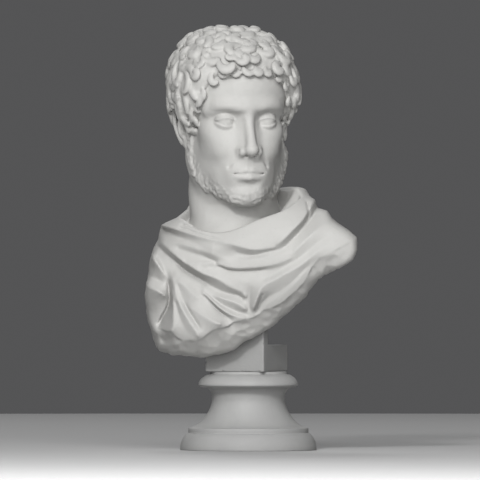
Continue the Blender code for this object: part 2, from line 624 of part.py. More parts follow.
def model_curls(clay):
    """Short thick curls over the scalp, each a comma that winds its own way, over a cap of hair."""
    scalp = Clay()
    model_skull(HeadTools(scalp))
    hair_cap(clay, scalp)
    whorl = Vector(from_head(WHORL))
    points, normals = scalp.surface(np.array(from_head(HEAD_MIDDLE)), spread(CURL_COUNT), 110.0)
    rng = random.Random(CURL_SEED)
    for point, normal in zip(points, normals):
        across, back, up = in_head(point)
        size = rng.uniform(0.036, 0.052) * HEAD_HEIGHT
        thick = rng.uniform(0.022, 0.029) * HEAD_HEIGHT
        turns = rng.uniform(0.55, 0.95)
        tail = rng.uniform(0.06, 0.11) * HEAD_HEIGHT
        swing = rng.gauss(0, 0.5)
        hand = rng.choice((-1, 1))
        if up < hair_level(across, back):
            continue
        depth = HAIR_DEPTH * (0.62 + 0.38 * (1.0 - float(ease(up, 0.80, 1.0)))) * HEAD_HEIGHT
        flow = Vector(point) - whorl
        flow.rotate(Matrix.Rotation(swing, 3, Vector(normal)))
        lock = lock_path(size, thick, turns, tail, 0.020 * HEAD_HEIGHT)
        set_lock(clay, point + normal * (depth - 0.1 * thick), normal, flow, hand, lock, 2.0)


def model_beard(clay):
    """A short beard of small curls along the jaw, from the sideburns to under the chin."""
    rng = random.Random(CURL_SEED + 1)
    for side in (1, -1):
        for row in range(3):
            line = flowing([(x * side, y, z) for x, y, z in BEARD_LINE], 8)
            for place in line:
                spot = np.array([place[0], place[1] + rng.uniform(-0.012, 0.012),
                                 place[2] + 0.045 * (row - 1) + rng.uniform(-0.012, 0.012)])
                outward = np.array([spot[0], spot[1] + 0.08, 0.25 * (spot[2] - 0.35)])
                start = np.array([from_head(spot - 0.6 * outward)])
                ray = np.array([HEAD_ROTATION @ Vector(outward)])
                ray = ray / np.linalg.norm(ray)
                point, normal = clay.surface(start, ray, 70.0)
                size = rng.uniform(0.014, 0.020) * HEAD_HEIGHT
                lock = lock_path(size, 0.010 * HEAD_HEIGHT, rng.uniform(0.5, 0.8), 0.02 * HEAD_HEIGHT,
                                 0.0)
                flow = HEAD_ROTATION @ Vector((0, -0.5, -1)).normalized()
                flow.rotate(Matrix.Rotation(rng.gauss(0, 0.6), 3, Vector(normal[0])))
                seat = point[0] - normal[0] * 0.003 * HEAD_HEIGHT
                set_lock(clay, seat, normal[0], flow, rng.choice((-1, 1)), lock, 2.0)


def sculpt_bust():
    figure = Clay()
    model_head(figure)
    model_neck(figure)
    model_beard(figure)
    model_curls(figure)
    cloak = Clay()
    model_chest(cloak)
    dress_chest(cloak, Picture())
    figure.field = smooth_min(figure.field, cloak.field, 3.0)
    hollow_back(figure)
    return figure


def marble(name, colour):
    material = bpy.data.materials.new(name)
    material.use_nodes = True
    shader = material.node_tree.nodes["Principled BSDF"]
    shader.inputs["Base Color"].default_value = (*colour, 1.0)
    shader.inputs["Roughness"].default_value = 0.62
    return material


def new_object(name, mesh, collection, material=None):
    item = bpy.data.objects.new(name, mesh)
    collection.objects.link(item)
    if material:
        mesh.materials.append(material)
    return item


def box_mesh(name, low, high):
    """A rectangular block between two corners."""
    low, high = Vector(low), Vector(high)
    form = bmesh.new()
    place = Matrix.Translation((low + high) / 2) @ Matrix.Diagonal((*(high - low), 1.0))
    bmesh.ops.create_cube(form, size=1.0, matrix=place)
    mesh = bpy.data.meshes.new(name)
    form.to_mesh(mesh)
    form.free()
    return mesh


def largest_piece(points, faces):
    """Only the connected piece with the most points, so that no stray crumb is left."""
    owner = np.arange(len(points))
    while True:
        lowest = owner.copy()
        ring = owner[faces].min(axis=1)
        for corner in range(faces.shape[1]):
            np.minimum.at(lowest, faces[:, corner], ring)
        lowest = lowest[lowest]
        if np.array_equal(lowest, owner):
            break
        owner = lowest
    names, counts = np.unique(owner, return_counts=True)
    kept = owner == names[np.argmax(counts)]
    numbers = np.cumsum(kept) - 1
    return points[kept], numbers[faces[kept[faces[:, 0]]]]


def clay_mesh(clay, name):
    """The clay's surface as one closed mesh in metres, standing at its height on the socle."""
    grid = openvdb.FloatGrid(FAR)
    grid.copyFromArray(clay.field)
    points, quads = grid.convertToQuads(0.0)
    points, quads = largest_piece(points, quads[:, ::-1])
    points = points * GRID_STEP + np.array([axis[0] for axis in clay.axes])
    points = points * UNIT + np.array([0.0, 0.0, SOCLE_HEIGHT + BUST_LIFT])
    mesh = bpy.data.meshes.new(name)
    mesh.from_pydata(points.tolist(), [], quads.tolist())
    return mesh


def build_bust(collection):
    bust = new_object("bust", clay_mesh(sculpt_bust(), "bust"), collection,
                      marble("bust marble", (0.74, 0.73, 0.71)))
    facets = bust.modifiers.new("facets", "DECIMATE")
    facets.ratio = BUST_TRIANGLES / (2 * len(bust.data.polygons))
    facets.use_collapse_triangulate = True
    bust.data.shade_smooth()
    return bust


def block_box(height, depth, margin, drop):
    """The corners of a form as wide as the block, from its front face back and up from the socle."""
    x, y = BLOCK_CENTRE
    half = BLOCK_SIDE / 2 + margin
    low = SOCLE_HEIGHT + CLEARANCE
    front = y - half
    return (x - half, front, low - drop), (x + half, front + depth + 2 * margin, low + height + margin)


def build_support(collection):
    """The square block, and the slab that is drawn up from its front edge into the bust's hollow."""
    low, high = block_box(BLOCK_HEIGHT, BLOCK_SIDE, 0, 0)
    mesh = box_mesh("support_block", low, high)
    form = bmesh.new()
    form.from_mesh(mesh)
    back = low[1] + SLAB_THICKNESS
    bmesh.ops.bisect_plane(form, geom=[*form.verts, *form.edges, *form.faces],
                           plane_co=(0, back, 0), plane_no=(0, 1, 0))
    seat = [f for f in form.faces if f.normal.z > 0.5 and f.calc_center_median().y < back]
    drawn = bmesh.ops.extrude_discrete_faces(form, faces=seat)["faces"]
    rise = SLAB_HEIGHT - BLOCK_HEIGHT
    bmesh.ops.translate(form, verts=drawn[0].verts, vec=(0, 0, rise))
    bmesh.ops.remove_doubles(form, verts=form.verts, dist=CLEARANCE / 10)
    bmesh.ops.dissolve_limit(form, angle_limit=math.radians(1), verts=form.verts, edges=form.edges)
    form.to_mesh(mesh)
    form.free()
    block = new_object("support_block", mesh, collection, marble("support marble", (0.70, 0.70, 0.69)))
    wear = block.modifiers.new("worn edges", "BEVEL")
    wear.width = EDGE_WEAR
    wear.segments = 2
    wear.limit_method = "ANGLE"
    return block


def seat_bust(bust):
    """Cut the bed in the bust that the block and slab stand in."""
    beds = {
        "block_bed": block_box(BLOCK_HEIGHT, BLOCK_SIDE, CLEARANCE, BED_DROP),
        "slab_bed": block_box(SLAB_HEIGHT, SLAB_THICKNESS, CLEARANCE, BED_DROP),
    }
    for name, corners in beds.items():
        bed = new_object(name, box_mesh(name, *corners), cutters())
        hide_cutter(bed)
        cut = bust.modifiers.new(name, "BOOLEAN")
        cut.operation = "DIFFERENCE"
        cut.solver = "EXACT"
        cut.object = bed


def quarter(centre, radii, start, end, count=6):
    """Points along a quarter of an ellipse in the profile's plane, angles in degrees."""
    return [
        (centre[0] + radii[0] * math.cos(math.radians(start + (end - start) * i / count)),
         centre[1] + radii[1] * math.sin(math.radians(start + (end - start) * i / count)))
        for i in range(count + 1)
    ]


def socle_profile():
    """The socle's outline from its axis at the top, down the outer side, to its axis at the foot."""
    edge = EDGE_WEAR
    collar_top = SOCLE_HEIGHT - NECK_RING_HEIGHT
    collar_base = collar_top - COLLAR_HEIGHT
    rim_top = FOOT_RIM_HEIGHT + FOOT_MOULDING_HEIGHT
    step_top = rim_top + STEP_HEIGHT
    waist = step_top + WAIST_SHARE * (collar_base - step_top)
    return [
        (0.0, SOCLE_HEIGHT), (NECK_RING_RADIUS - edge, SOCLE_HEIGHT),
        (NECK_RING_RADIUS, SOCLE_HEIGHT - edge), (NECK_RING_RADIUS, collar_top),
        *quarter((NECK_RING_RADIUS, collar_base + COLLAR_LIP),
                 (COLLAR_RADIUS - NECK_RING_RADIUS, COLLAR_HEIGHT - COLLAR_LIP), 88, 0),
        (COLLAR_RADIUS, collar_base), (COLLAR_RADIUS - COLLAR_LIP, collar_base - edge),
        *quarter((COLLAR_RADIUS - COLLAR_LIP, waist),
                 (COLLAR_RADIUS - COLLAR_LIP - WAIST_RADIUS, collar_base - COLLAR_LIP - waist), 92, 180),
        *quarter((STEP_RADIUS, waist), (STEP_RADIUS - WAIST_RADIUS, waist - step_top), 186, 270, 7),
        (STEP_RADIUS, rim_top),
        *quarter((STEP_RADIUS, FOOT_RIM_HEIGHT),
                 (FOOT_RADIUS - STEP_RADIUS, FOOT_MOULDING_HEIGHT - edge), 88, 0, 6),
        (FOOT_RADIUS, edge), (FOOT_RADIUS - edge, 0.0), (0.0, 0.0),
    ]


def build_socle(collection):
    mesh = bpy.data.meshes.new("socle")
    profile = [(r, 0.0, z) for r, z in socle_profile()]
    mesh.from_pydata(profile, [(i, i + 1) for i in range(len(profile) - 1)], [])
    socle = new_object("socle", mesh, collection, marble("socle marble", (0.72, 0.72, 0.71)))
    turn = socle.modifiers.new("turned", "SCREW")
    turn.axis = "Z"
    turn.angle = 2 * math.pi
    turn.steps = SOCLE_STEPS
    turn.render_steps = SOCLE_STEPS
    turn.use_merge_vertices = True
    turn.merge_threshold = 0.00005
    turn.use_smooth_shade = True
    return socle


def cutters():
    if "cutters" not in bpy.data.collections:
        bpy.context.scene.collection.children.link(bpy.data.collections.new("cutters"))
    return bpy.data.collections["cutters"]


def hide_cutter(item):
    item.hide_render = True
    item.display_type = "WIRE"


def clear_scene():
    for item in list(bpy.data.objects):
        bpy.data.objects.remove(item)


def main():
    clear_scene()
    collection = bpy.data.collections.new("portrait_bust")
    bpy.context.scene.collection.children.link(collection)
    build_socle(collection)
    build_support(collection)
    seat_bust(build_bust(collection))


if __name__ == "__main__":
    main()
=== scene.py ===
"""A Roman portrait bust in honed white marble, on a squared support and a turned socle.

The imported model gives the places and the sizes. The bust and its support are carved again here with a
finer grain: their forms are signed distances on a grid, blended as a sculptor blends clay, and meshed at
the end. They are laid out in grid units, shares of the bust's height. The socle is turned from a profile
in metres. +X is the figure's left side, +Y its back, +Z up.
"""

import math
import random

import bmesh
import bpy
import numpy as np
import openvdb
from bpy.props import FloatProperty, FloatVectorProperty, IntProperty, PointerProperty
from mathutils import Euler, Matrix, Vector, noise


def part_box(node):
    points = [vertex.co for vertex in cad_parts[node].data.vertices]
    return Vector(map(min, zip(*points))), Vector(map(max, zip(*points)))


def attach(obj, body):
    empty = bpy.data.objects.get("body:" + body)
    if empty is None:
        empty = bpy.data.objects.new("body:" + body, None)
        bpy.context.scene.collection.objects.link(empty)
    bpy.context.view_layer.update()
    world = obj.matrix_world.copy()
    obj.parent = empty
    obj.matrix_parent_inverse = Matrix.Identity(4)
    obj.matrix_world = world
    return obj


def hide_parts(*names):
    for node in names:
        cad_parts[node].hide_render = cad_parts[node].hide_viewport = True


bl_info = {
    "name": "Roman portrait bust",
    "version": (1, 0, 0),
    "blender": (4, 5, 0),
    "location": "View3D > Sidebar > Bust",
    "description": "Carves a marble portrait bust on its support and socle, and sets it in a plain studio",
    "category": "Object",
}

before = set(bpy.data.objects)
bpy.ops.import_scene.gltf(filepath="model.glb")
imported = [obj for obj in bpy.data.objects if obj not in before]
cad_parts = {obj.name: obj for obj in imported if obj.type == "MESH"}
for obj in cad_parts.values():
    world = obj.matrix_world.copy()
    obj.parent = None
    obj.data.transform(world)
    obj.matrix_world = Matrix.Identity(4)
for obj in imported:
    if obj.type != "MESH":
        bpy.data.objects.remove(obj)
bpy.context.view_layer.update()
BUST_LOW, BUST_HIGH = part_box("bust")
SUPPORT_LOW, SUPPORT_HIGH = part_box("support_block")
SOCLE_LOW, SOCLE_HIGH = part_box("socle")

# The support: its block's height, its slab's thickness, and the gap round them in the bust's bed
BLOCK_HEIGHT = 0.040
SLAB_THICKNESS = 0.0175
BED_GAP = 0.0003
EDGE_WEAR = 0.0012
SUPPORT_SEED = 4
SUPPORT_CHIPS = 60
CHIP_RADII = (0.5, 1.5)
CUT_BLEND = 0.6

# The socle's waist, as a share of the way from the step up to the collar
WAIST_SHARE = 0.66

# The sculptor's grid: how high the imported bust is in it, and where its top and the corners lie
BUST_UNITS = 334.4
TOP_LEVEL = 333.6
UNIT = (BUST_HIGH.z - BUST_LOW.z) / BUST_UNITS
GRID_BASE = BUST_HIGH.z - TOP_LEVEL * UNIT
TO_METRES = Matrix.Translation((0, 0, GRID_BASE)) @ Matrix.Scale(UNIT, 4)
LOW_CORNER = (-124.0, -98.0, -10.0)
HIGH_CORNER = (128.0, 74.0, 342.0)
FAR = 60.0
VIEW_TURN = math.radians(22.5)
SUPPORT_GRAIN = 0.6

# Layers of weathering, the size and the height of their lumps in grid units, the socle's in metres
BUST_WEATHER = [(26.0, 0.35), (7.0, 0.16)]
SUPPORT_WEATHER = [(16.0, 0.10), (4.0, 0.07)]
SOCLE_WEATHER = [(0.030, 0.00012), (0.008, 0.00008)]

# The head's pose in grid units and degrees, and its forms in shares of the height from chin to crown
HEAD_HEIGHT = 165.0
HEAD_PIVOT = Vector((-10.0, -16.0, 240.0))
HEAD_PIVOT_SHARE = 0.5
HEAD_TURN = 37.0
HEAD_NOD = 4.0
HEAD_MIDDLE = (0, 0.04, 0.58)
HEAD_ROTATION = (
    Matrix.Rotation(math.radians(HEAD_TURN), 3, "Z") @ Matrix.Rotation(math.radians(HEAD_NOD), 3, "X")
)


def smooth_min(first, second, blend):
    """The union of two distances, with a fillet of about a quarter of blend."""
    if blend <= 0:
        return np.minimum(first, second)
    overlap = np.maximum(blend - np.abs(first - second), 0.0) / blend
    return np.minimum(first, second) - overlap * overlap * blend * 0.25


def smooth_max(first, second, blend):
    """The intersection of two distances, with a rounded edge."""
    return -smooth_min(-first, -second, blend)


def ease(value, low, high):
    """0 below low, 1 above high and a smooth step between."""
    share = np.clip((value - low) / (high - low), 0.0, 1.0)
    return share * share * (3.0 - 2.0 * share)


def flowing(points, per_span=6):
    """Points along a smooth Catmull-Rom curve through the given ones."""
    ends = [points[0], *points, points[-1]]
    found = []
    for before, start, end, after in zip(ends, ends[1:], ends[2:], ends[3:]):
        for step in range(per_span):
            t = step / per_span
            found.append(tuple(
                0.5 * (2 * b + (c - a) * t + (2 * a - 5 * b + 4 * c - d) * t * t
                       + (3 * b - a - 3 * c + d) * t ** 3)
                for a, b, c, d in zip(before, start, end, after)
            ))
    return found + [tuple(points[-1])]


class Form:
    """A shape as a function that gives distances, with the corners of the box that holds it."""

    def __init__(self, distance, points, reach):
        self.distance = distance
        self.low = np.min(points, axis=0) - reach
        self.high = np.max(points, axis=0) + reach


def turned(place, centre, rows):
    """Grid coordinates along the three axes that the rows give, from a centre."""
    away = [axis - c for axis, c in zip(place, centre)]
    if rows is None:
        return away
    return [sum(row[i] * away[i] for i in range(3)) for row in rows]


def ellipsoid(centre, radii, rows=None):
    """An ellipsoid, with the directions of its axes as rows."""
    tiny = 1e-4  # keeps the distance at the very centre from dividing by nothing

    def distance(place):
        local = turned(place, centre, rows)
        near = np.sqrt(sum((axis / r) ** 2 for axis, r in zip(local, radii)))
        slope = np.sqrt(sum((axis / (r * r)) ** 2 for axis, r in zip(local, radii)))
        return (near - 1.0) * (near + tiny) / (slope + tiny / min(radii))

    return Form(distance, [centre], max(radii))


def block(low, high, edge=0.0):
    """A rectangular block between two corners, its edges worn round."""
    middle = [(a + b) / 2 for a, b in zip(low, high)]
    half = [(b - a) / 2 - edge for a, b in zip(low, high)]

    def distance(place):
        beyond = [np.abs(axis - m) - h for axis, m, h in zip(place, middle, half)]
        outside = np.sqrt(sum(np.maximum(b, 0.0) ** 2 for b in beyond))
        inside = np.minimum(np.maximum(np.maximum(beyond[0], beyond[1]), beyond[2]), 0.0)
        return outside + inside - edge

    return Form(distance, [low, high], 0.0)


def stretch(place, start, end, r_start, r_end):
    """A tapered stretch between two points: the distance from it, the way from its start, its run and
    its radius."""
    run = [e - s for s, e in zip(start, end)]
    length = max(sum(c * c for c in run), 1e-9)
    away = [axis - s for axis, s in zip(place, start)]
    share = np.clip(sum(a * c for a, c in zip(away, run)) / length, 0.0, 1.0)
    radius = r_start + (r_end - r_start) * share
    gap = np.sqrt(sum((a - share * c) ** 2 for a, c in zip(away, run))) - radius
    return gap, away, run, radius


def tube(points, radii):
    """A tapered tube through the points, with a radius at each."""

    def distance(place):
        nearest = None
        for ends in zip(points, points[1:], radii, radii[1:]):
            gap, _, _, _ = stretch(place, *ends)
            nearest = gap if nearest is None else np.minimum(nearest, gap)
        return nearest

    return Form(distance, points, max(radii))


def lock(spot, rows, course, widths, lifts, flat, strands, cut):
    """A lock of hair: a flattened tube that winds over the surface, with strands cut along it.

    The rows are its own directions, to the side, along and out. The course is where it runs in its own
    plane, and the lifts are how far out. Flat is its thickness as a share of its width.
    """
    points = [(x, y, z / flat) for (x, y), z in zip(course, lifts)]

    def distance(place):
        side, along, out = turned(place, spot, rows)
        nearest, lane = None, None
        for ends in zip(points, points[1:], widths, widths[1:]):
            gap, away, run, radius = stretch((side, along, out / flat), *ends)
            across = (run[0] * away[1] - run[1] * away[0]) / (math.hypot(run[0], run[1]) * radius)
            if nearest is None:
                nearest, lane = gap, across
            else:
                closer = gap < nearest
                nearest = np.where(closer, gap, nearest)
                lane = np.where(closer, across, lane)
        grooves = 0.5 - 0.5 * np.cos(2.0 * math.pi * strands * np.clip(lane, -1.0, 1.0))
        return nearest * flat + cut * grooves

    reach = max(math.hypot(x, y) + abs(z) for (x, y), z in zip(course, lifts)) + max(widths)
    return Form(distance, [spot], reach)


class Clay:
    """Signed distances on a regular grid, in grid units, negative inside the stone."""

    margin = 3.0

    def __init__(self, step, low=None, high=None):
        self.step = step
        corners = zip(LOW_CORNER if low is None else low, HIGH_CORNER if high is None else high)
        self.axes = [np.arange(start, end, step, dtype=np.float32) for start, end in corners]
        self.field = np.full([len(axis) for axis in self.axes], FAR, np.float32)

    def window(self, low, high):
        """The slices between two corners, and the coordinates there."""
        cut = tuple(
            slice(*np.searchsorted(axis, ends)) for axis, ends in zip(self.axes, zip(low, high))
        )
        shapes = ((-1, 1, 1), (1, -1, 1), (1, 1, -1))
        return cut, [axis[s].reshape(shape) for axis, s, shape in zip(self.axes, cut, shapes)]

    def around(self, form, blend):
        """The window that a form can change."""
        room = self.margin + blend + self.step
        return self.window(form.low - room, form.high + room)

    def add(self, form, blend):
        cut, place = self.around(form, blend)
        self.field[cut] = smooth_min(self.field[cut], form.distance(place), blend)

    def carve(self, form, blend):
        cut, place = self.around(form, blend)
        self.field[cut] = smooth_max(self.field[cut], -form.distance(place), blend)

    def band(self, width):
        """The cells within width of the surface, and their coordinates."""
        cells = np.nonzero(np.abs(self.field) < width)
        return cells, [axis[index] for axis, index in zip(self.axes, cells)]

    def at(self, points):
        """The distances at some points, read between the grid's own."""
        index = [
            np.clip((points[:, i] - self.axes[i][0]) / self.step, 0, len(self.axes[i]) - 1.001)
            for i in range(3)
        ]
        whole = [np.floor(i).astype(int) for i in index]
        part = [i - w for i, w in zip(index, whole)]
        total = 0.0
        for corner in np.ndindex(2, 2, 2):
            weight = 1.0
            for share, side in zip(part, corner):
                weight = weight * (share if side else 1.0 - share)
            total = total + weight * self.field[tuple(w + side for w, side in zip(whole, corner))]
        return total

    def surface(self, origins, directions, reach):
        """Where rays leave the clay for the last time, and the normals there."""
        steps = np.arange(reach, 0.0, -self.step)
        depth = np.stack([self.at(origins + directions * step) for step in steps])
        first = np.argmax(depth < 0, axis=0)
        points = origins + directions * steps[first][:, None]
        for _ in range(5):
            points = points - directions * self.at(points)[:, None] * 0.7
        nudges = 2.5 * np.eye(3)
        normals = np.stack([self.at(points + n) - self.at(points - n) for n in nudges], axis=1)
        return points, normals / np.linalg.norm(normals, axis=1)[:, None]


def from_head(point):
    """A point in head shares, as a point in grid units."""
    raised = Vector((point[0], point[1], point[2] - HEAD_PIVOT_SHARE)) * HEAD_HEIGHT
    return tuple(HEAD_ROTATION @ raised + HEAD_PIVOT)


def in_head(place):
    """Grid coordinates as head shares: x to the figure's left, y to the back and z up from the chin."""
    shares = [axis / HEAD_HEIGHT for axis in turned(place, HEAD_PIVOT, HEAD_ROTATION.transposed())]
    shares[2] = shares[2] + HEAD_PIVOT_SHARE
    return shares


def both_sides(point):
    """The point and its twin, or only the point if it lies in the middle."""
    return [point, (-point[0], *point[1:])] if point[0] else [point]


class HeadTools:
    """Adds to the clay or carves it with forms given in head shares, on both sides of the face."""

    def __init__(self, clay):
        self.clay = clay

    def mass(self, centre, radii, blend, turn=(0, 0, 0), carve=False):
        """An ellipsoid, and its twin on the other side unless it lies in the middle."""
        tool = self.clay.carve if carve else self.clay.add
        for middle in both_sides(centre):
            side = math.copysign(1, middle[0] * centre[0]) if centre[0] else 1
            lean = Euler([math.radians(a) for a in (turn[0], turn[1] * side, turn[2] * side)]).to_matrix()
            rows = lean @ HEAD_ROTATION.transposed()
            tool(ellipsoid(from_head(middle), [r * HEAD_HEIGHT for r in radii], rows), blend * HEAD_HEIGHT)

    def line(self, points, radii, blend, carve=False, mirrored=True):
        """A tapered tube along a smooth line, and its twin on the other side."""
        tool = self.clay.carve if carve else self.clay.add
        path = flowing([(*p, r) for p, r in zip(points, radii)], 4)
        for side in ((1, -1) if mirrored else (1,)):
            spots = [from_head((p[0] * side, p[1], p[2])) for p in path]
            tool(tube(spots, [p[3] * HEAD_HEIGHT for p in path]), blend * HEAD_HEIGHT)


def model_skull(head):
    head.mass((0, 0.055, 0.640), (0.322, 0.385, 0.350), 0.0)
    head.mass((0, -0.130, 0.680), (0.284, 0.262, 0.230), 0.10)
    head.mass((0.115, 0.030, 0.785), (0.165, 0.285, 0.180), 0.10)
    head.mass((0, -0.165, 0.350), (0.200, 0.232, 0.230), 0.10)
    head.mass((0.160, -0.210, 0.430), (0.092, 0.108, 0.070), 0.08)
    head.mass((0.108, -0.262, 0.335), (0.100, 0.112, 0.105), 0.08)
    head.line([(0.225, 0.02, 0.40), (0.210, -0.02, 0.19), (0.06, -0.335, 0.065)],
              [0.058, 0.060, 0.055], 0.10)
    head.mass((0.165, -0.100, 0.290), (0.078, 0.140, 0.150), 0.08)
    head.mass((0, -0.150, 0.175), (0.190, 0.222, 0.150), 0.08)
    head.mass((0.085, -0.270, 0.170), (0.085, 0.085, 0.090), 0.07)
    head.mass((0, -0.345, 0.068), (0.080, 0.066, 0.060), 0.05)


# The eyeballs, and how the lids lie over them: where their edges run, how thick they are
EYE_MIDDLE = (0.126, -0.300, 0.502)
EYE_RADIUS = 0.058
LID_THICKNESS = 0.0085
LID_HALF_WIDTH = 0.070
UPPER_LID = (0.4960, 0.026)
LOWER_LID = (0.4945, -0.018)


def lid(side, edge):
    """A lid as a shell over the eyeball, above or below its curved edge."""
    middle = (EYE_MIDDLE[0] * side, *EYE_MIDDLE[1:])
    ball = ellipsoid(from_head(middle), [(EYE_RADIUS + LID_THICKNESS) * HEAD_HEIGHT] * 3)
    level, rise = edge

    def distance(place):
        across, _, up = in_head(place)
        share = np.clip((across - middle[0]) / LID_HALF_WIDTH, -1.2, 1.2)
        line = level + rise * (1.0 - share * share) + 0.004 * share * side
        beyond = (line - up) if rise > 0 else (up - line)
        return smooth_max(ball.distance(place), beyond * HEAD_HEIGHT, 0.6)

    return Form(distance, [from_head(middle)], (EYE_RADIUS + LID_THICKNESS) * HEAD_HEIGHT)


def model_eyes(head):
    head.line([(0, -0.374, 0.590), (0.09, -0.372, 0.598), (0.17, -0.326, 0.598), (0.22, -0.25, 0.566)],
              [0.027, 0.029, 0.027, 0.018], 0.06)
    head.mass((0.128, -0.424, 0.508), (0.080, 0.078, 0.048), 0.05, (0, 8, -18), carve=True)
    head.mass((0.044, -0.428, 0.520), (0.022, 0.034, 0.032), 0.04, carve=True)
    head.mass(EYE_MIDDLE, (EYE_RADIUS,) * 3, 0.006)
    for side in (1, -1):
        head.clay.add(lid(side, LOWER_LID), 1.6)
        head.clay.add(lid(side, UPPER_LID), 1.2)


def model_nose(head):
    head.line([(0, -0.335, 0.560), (0, -0.360, 0.450), (0, -0.400, 0.345)],
              [0.036, 0.050, 0.058], 0.05, mirrored=False)
    head.line([(0, -0.376, 0.565), (0, -0.404, 0.490), (0, -0.450, 0.400), (0, -0.472, 0.350)],
              [0.026, 0.026, 0.030, 0.036], 0.030, mirrored=False)
    head.mass((0, -0.472, 0.340), (0.040, 0.038, 0.034), 0.02)
    head.mass((0.052, -0.422, 0.328), (0.030, 0.044, 0.031), 0.020)
    head.line([(0, -0.466, 0.318), (0, -0.410, 0.298)], [0.016, 0.018], 0.02, mirrored=False)
    head.mass((0.026, -0.440, 0.302), (0.012, 0.022, 0.012), 0.010, carve=True)


def model_mouth(head):
    head.mass((0, -0.365, 0.210), (0.115, 0.062, 0.090), 0.07)
    head.line([(0.084, -0.380, 0.188), (0.046, -0.408, 0.170), (0, -0.421, 0.166)],
              [0.008, 0.018, 0.023], 0.022)
    head.line([(0.090, -0.380, 0.196), (0.050, -0.410, 0.205), (0.018, -0.425, 0.214), (0, -0.423, 0.209)],
              [0.007, 0.015, 0.018, 0.017], 0.006)
    head.line([(0.096, -0.396, 0.193), (0.050, -0.433, 0.189), (0.016, -0.451, 0.190), (0, -0.451, 0.187)],
              [0.005, 0.005, 0.004, 0.004], 0.010, carve=True)
    head.line([(0, -0.446, 0.282), (0, -0.448, 0.240)], [0.009, 0.011], 0.016, carve=True, mirrored=False)
    head.mass((0, -0.432, 0.124), (0.070, 0.026, 0.020), 0.035, carve=True)
    head.line([(0.070, -0.434, 0.330), (0.100, -0.408, 0.285), (0.118, -0.384, 0.235)],
              [0.004, 0.005, 0.002], 0.030, carve=True)


# The ear lies in a plane of its own that opens to the front. Its forms are in shares of its height,
# back from its middle, up and out.
EAR_MIDDLE = (0.276, 0.050, 0.445)
EAR_HEIGHT = 0.275
EAR_OPENING = 14.0
EAR_LEAN = 9.0
EAR_ROOM = ((0.05, -0.06, 0.20), (0.40, 0.50, 0.52))


def ear_point(point, side):
    """A point of the ear, back, up and out in its own shares, in grid units."""
    back, up, out = (share * EAR_HEIGHT for share in point)
    lean, opening = math.radians(EAR_LEAN), math.radians(EAR_OPENING)
    back, up = back * math.cos(lean) + up * math.sin(lean), up * math.cos(lean) - back * math.sin(lean)
    across = back * math.sin(opening) + out * math.cos(opening)
    behind = back * math.cos(opening) - out * math.sin(opening)
    return from_head(((EAR_MIDDLE[0] + across) * side, EAR_MIDDLE[1] + behind, EAR_MIDDLE[2] + up))


def ear_rows(side):
    """The ear's own directions, back, up and out, as rows."""
    start = Vector(ear_point((0, 0, 0), side))
    return [(Vector(ear_point(axis, side)) - start).normalized() for axis in np.eye(3)]


def ear_zone(side):
    """The room that the hair leaves round an ear, open below and in front."""
    size = EAR_HEIGHT * HEAD_HEIGHT
    return ellipsoid(ear_point(EAR_ROOM[0], side), [r * size for r in EAR_ROOM[1]], ear_rows(side))


def model_ears(clay):
    size = EAR_HEIGHT * HEAD_HEIGHT
    for side in (1, -1):
        rows = ear_rows(side)

        def mass(centre, radii, blend, tool=clay.add):
            tool(ellipsoid(ear_point(centre, side), [r * size for r in radii], rows), blend)

        def rim(points, radii, blend):
            path = flowing([(*p, r) for p, r in zip(points, radii)], 4)
            clay.add(tube([ear_point(p[:3], side) for p in path], [p[3] * size for p in path]), blend)

        mass((0.02, 0.02, -0.02), (0.27, 0.44, 0.12), 3.0)
        mass((-0.02, -0.02, 0.13), (0.15, 0.20, 0.08), 1.8, clay.carve)
        mass((0.10, 0.27, 0.14), (0.12, 0.13, 0.06), 1.8, clay.carve)
        rim([(-0.07, 0.02, 0.03), (-0.20, 0.09, 0.08), (-0.27, 0.28, 0.10), (-0.12, 0.46, 0.11),
             (0.10, 0.47, 0.12), (0.27, 0.31, 0.13), (0.31, 0.06, 0.12), (0.22, -0.18, 0.10),
             (0.08, -0.36, 0.07)],
            [0.035, 0.048, 0.055, 0.055, 0.055, 0.055, 0.050, 0.050, 0.07], 1.2)
        rim([(-0.06, 0.30, 0.06), (0.06, 0.18, 0.10), (0.13, 0.02, 0.11), (0.10, -0.15, 0.11),
             (-0.02, -0.25, 0.10)],
            [0.035, 0.045, 0.05, 0.05, 0.05], 1.5)
        mass((-0.22, -0.08, 0.08), (0.06, 0.10, 0.06), 2.0)
        mass((-0.04, -0.38, 0.05), (0.11, 0.12, 0.07), 2.0)


def model_head(clay):
    head = HeadTools(clay)
    model_skull(head)
    model_eyes(head)
    model_nose(head)
    model_mouth(head)
    model_ears(clay)


# The hair: how low it comes round the head, from the forehead at 0 degrees to the nape at 180
HAIR_LEVELS = [(0, 0.775), (20, 0.77), (31, 0.73), (39, 0.65), (47, 0.57), (57, 0.47), (69, 0.37),
               (82, 0.34), (97, 0.54), (110, 0.54), (122, 0.30), (140, 0.16), (180, 0.10)]
HAIR_SEED = 11
WHORL = (0, 0.25, 1.02)
CAP_DEPTH = 0.049
CAP_REACH = 16.0
CAP_EDGE = 0.028
SCALP_MARGIN = 18.0
LOCK_SEAT = 0.060
LOCK_CLEARANCE = 0.045
LOCK_SPACING = 0.134
LOCK_SWING = 0.6
LOCK_STEPS = 12
LOCK_WIDTHS = ([0, 0.3, 0.6, 0.85, 1.0], [0.30, 0.72, 1.0, 0.95, 0.75])
HAIR_CENTRE = 0.04
HAIRLINE_SPACING = 9.5
HAIRLINE_RADIUS = 58.0


def hair_level(across, back):
    """The lowest level of the hair round the head, in head shares: fringe, sideburn, ear and nape."""
    angle = np.degrees(np.arctan2(np.abs(across), HAIR_CENTRE - back))
    return np.interp(angle, *zip(*HAIR_LEVELS))


def hair_fullness(up):
    """How thick the hair stands, less on the crown than at the sides."""
    return 1.0 - 0.32 * ease(up, 0.82, 1.0)


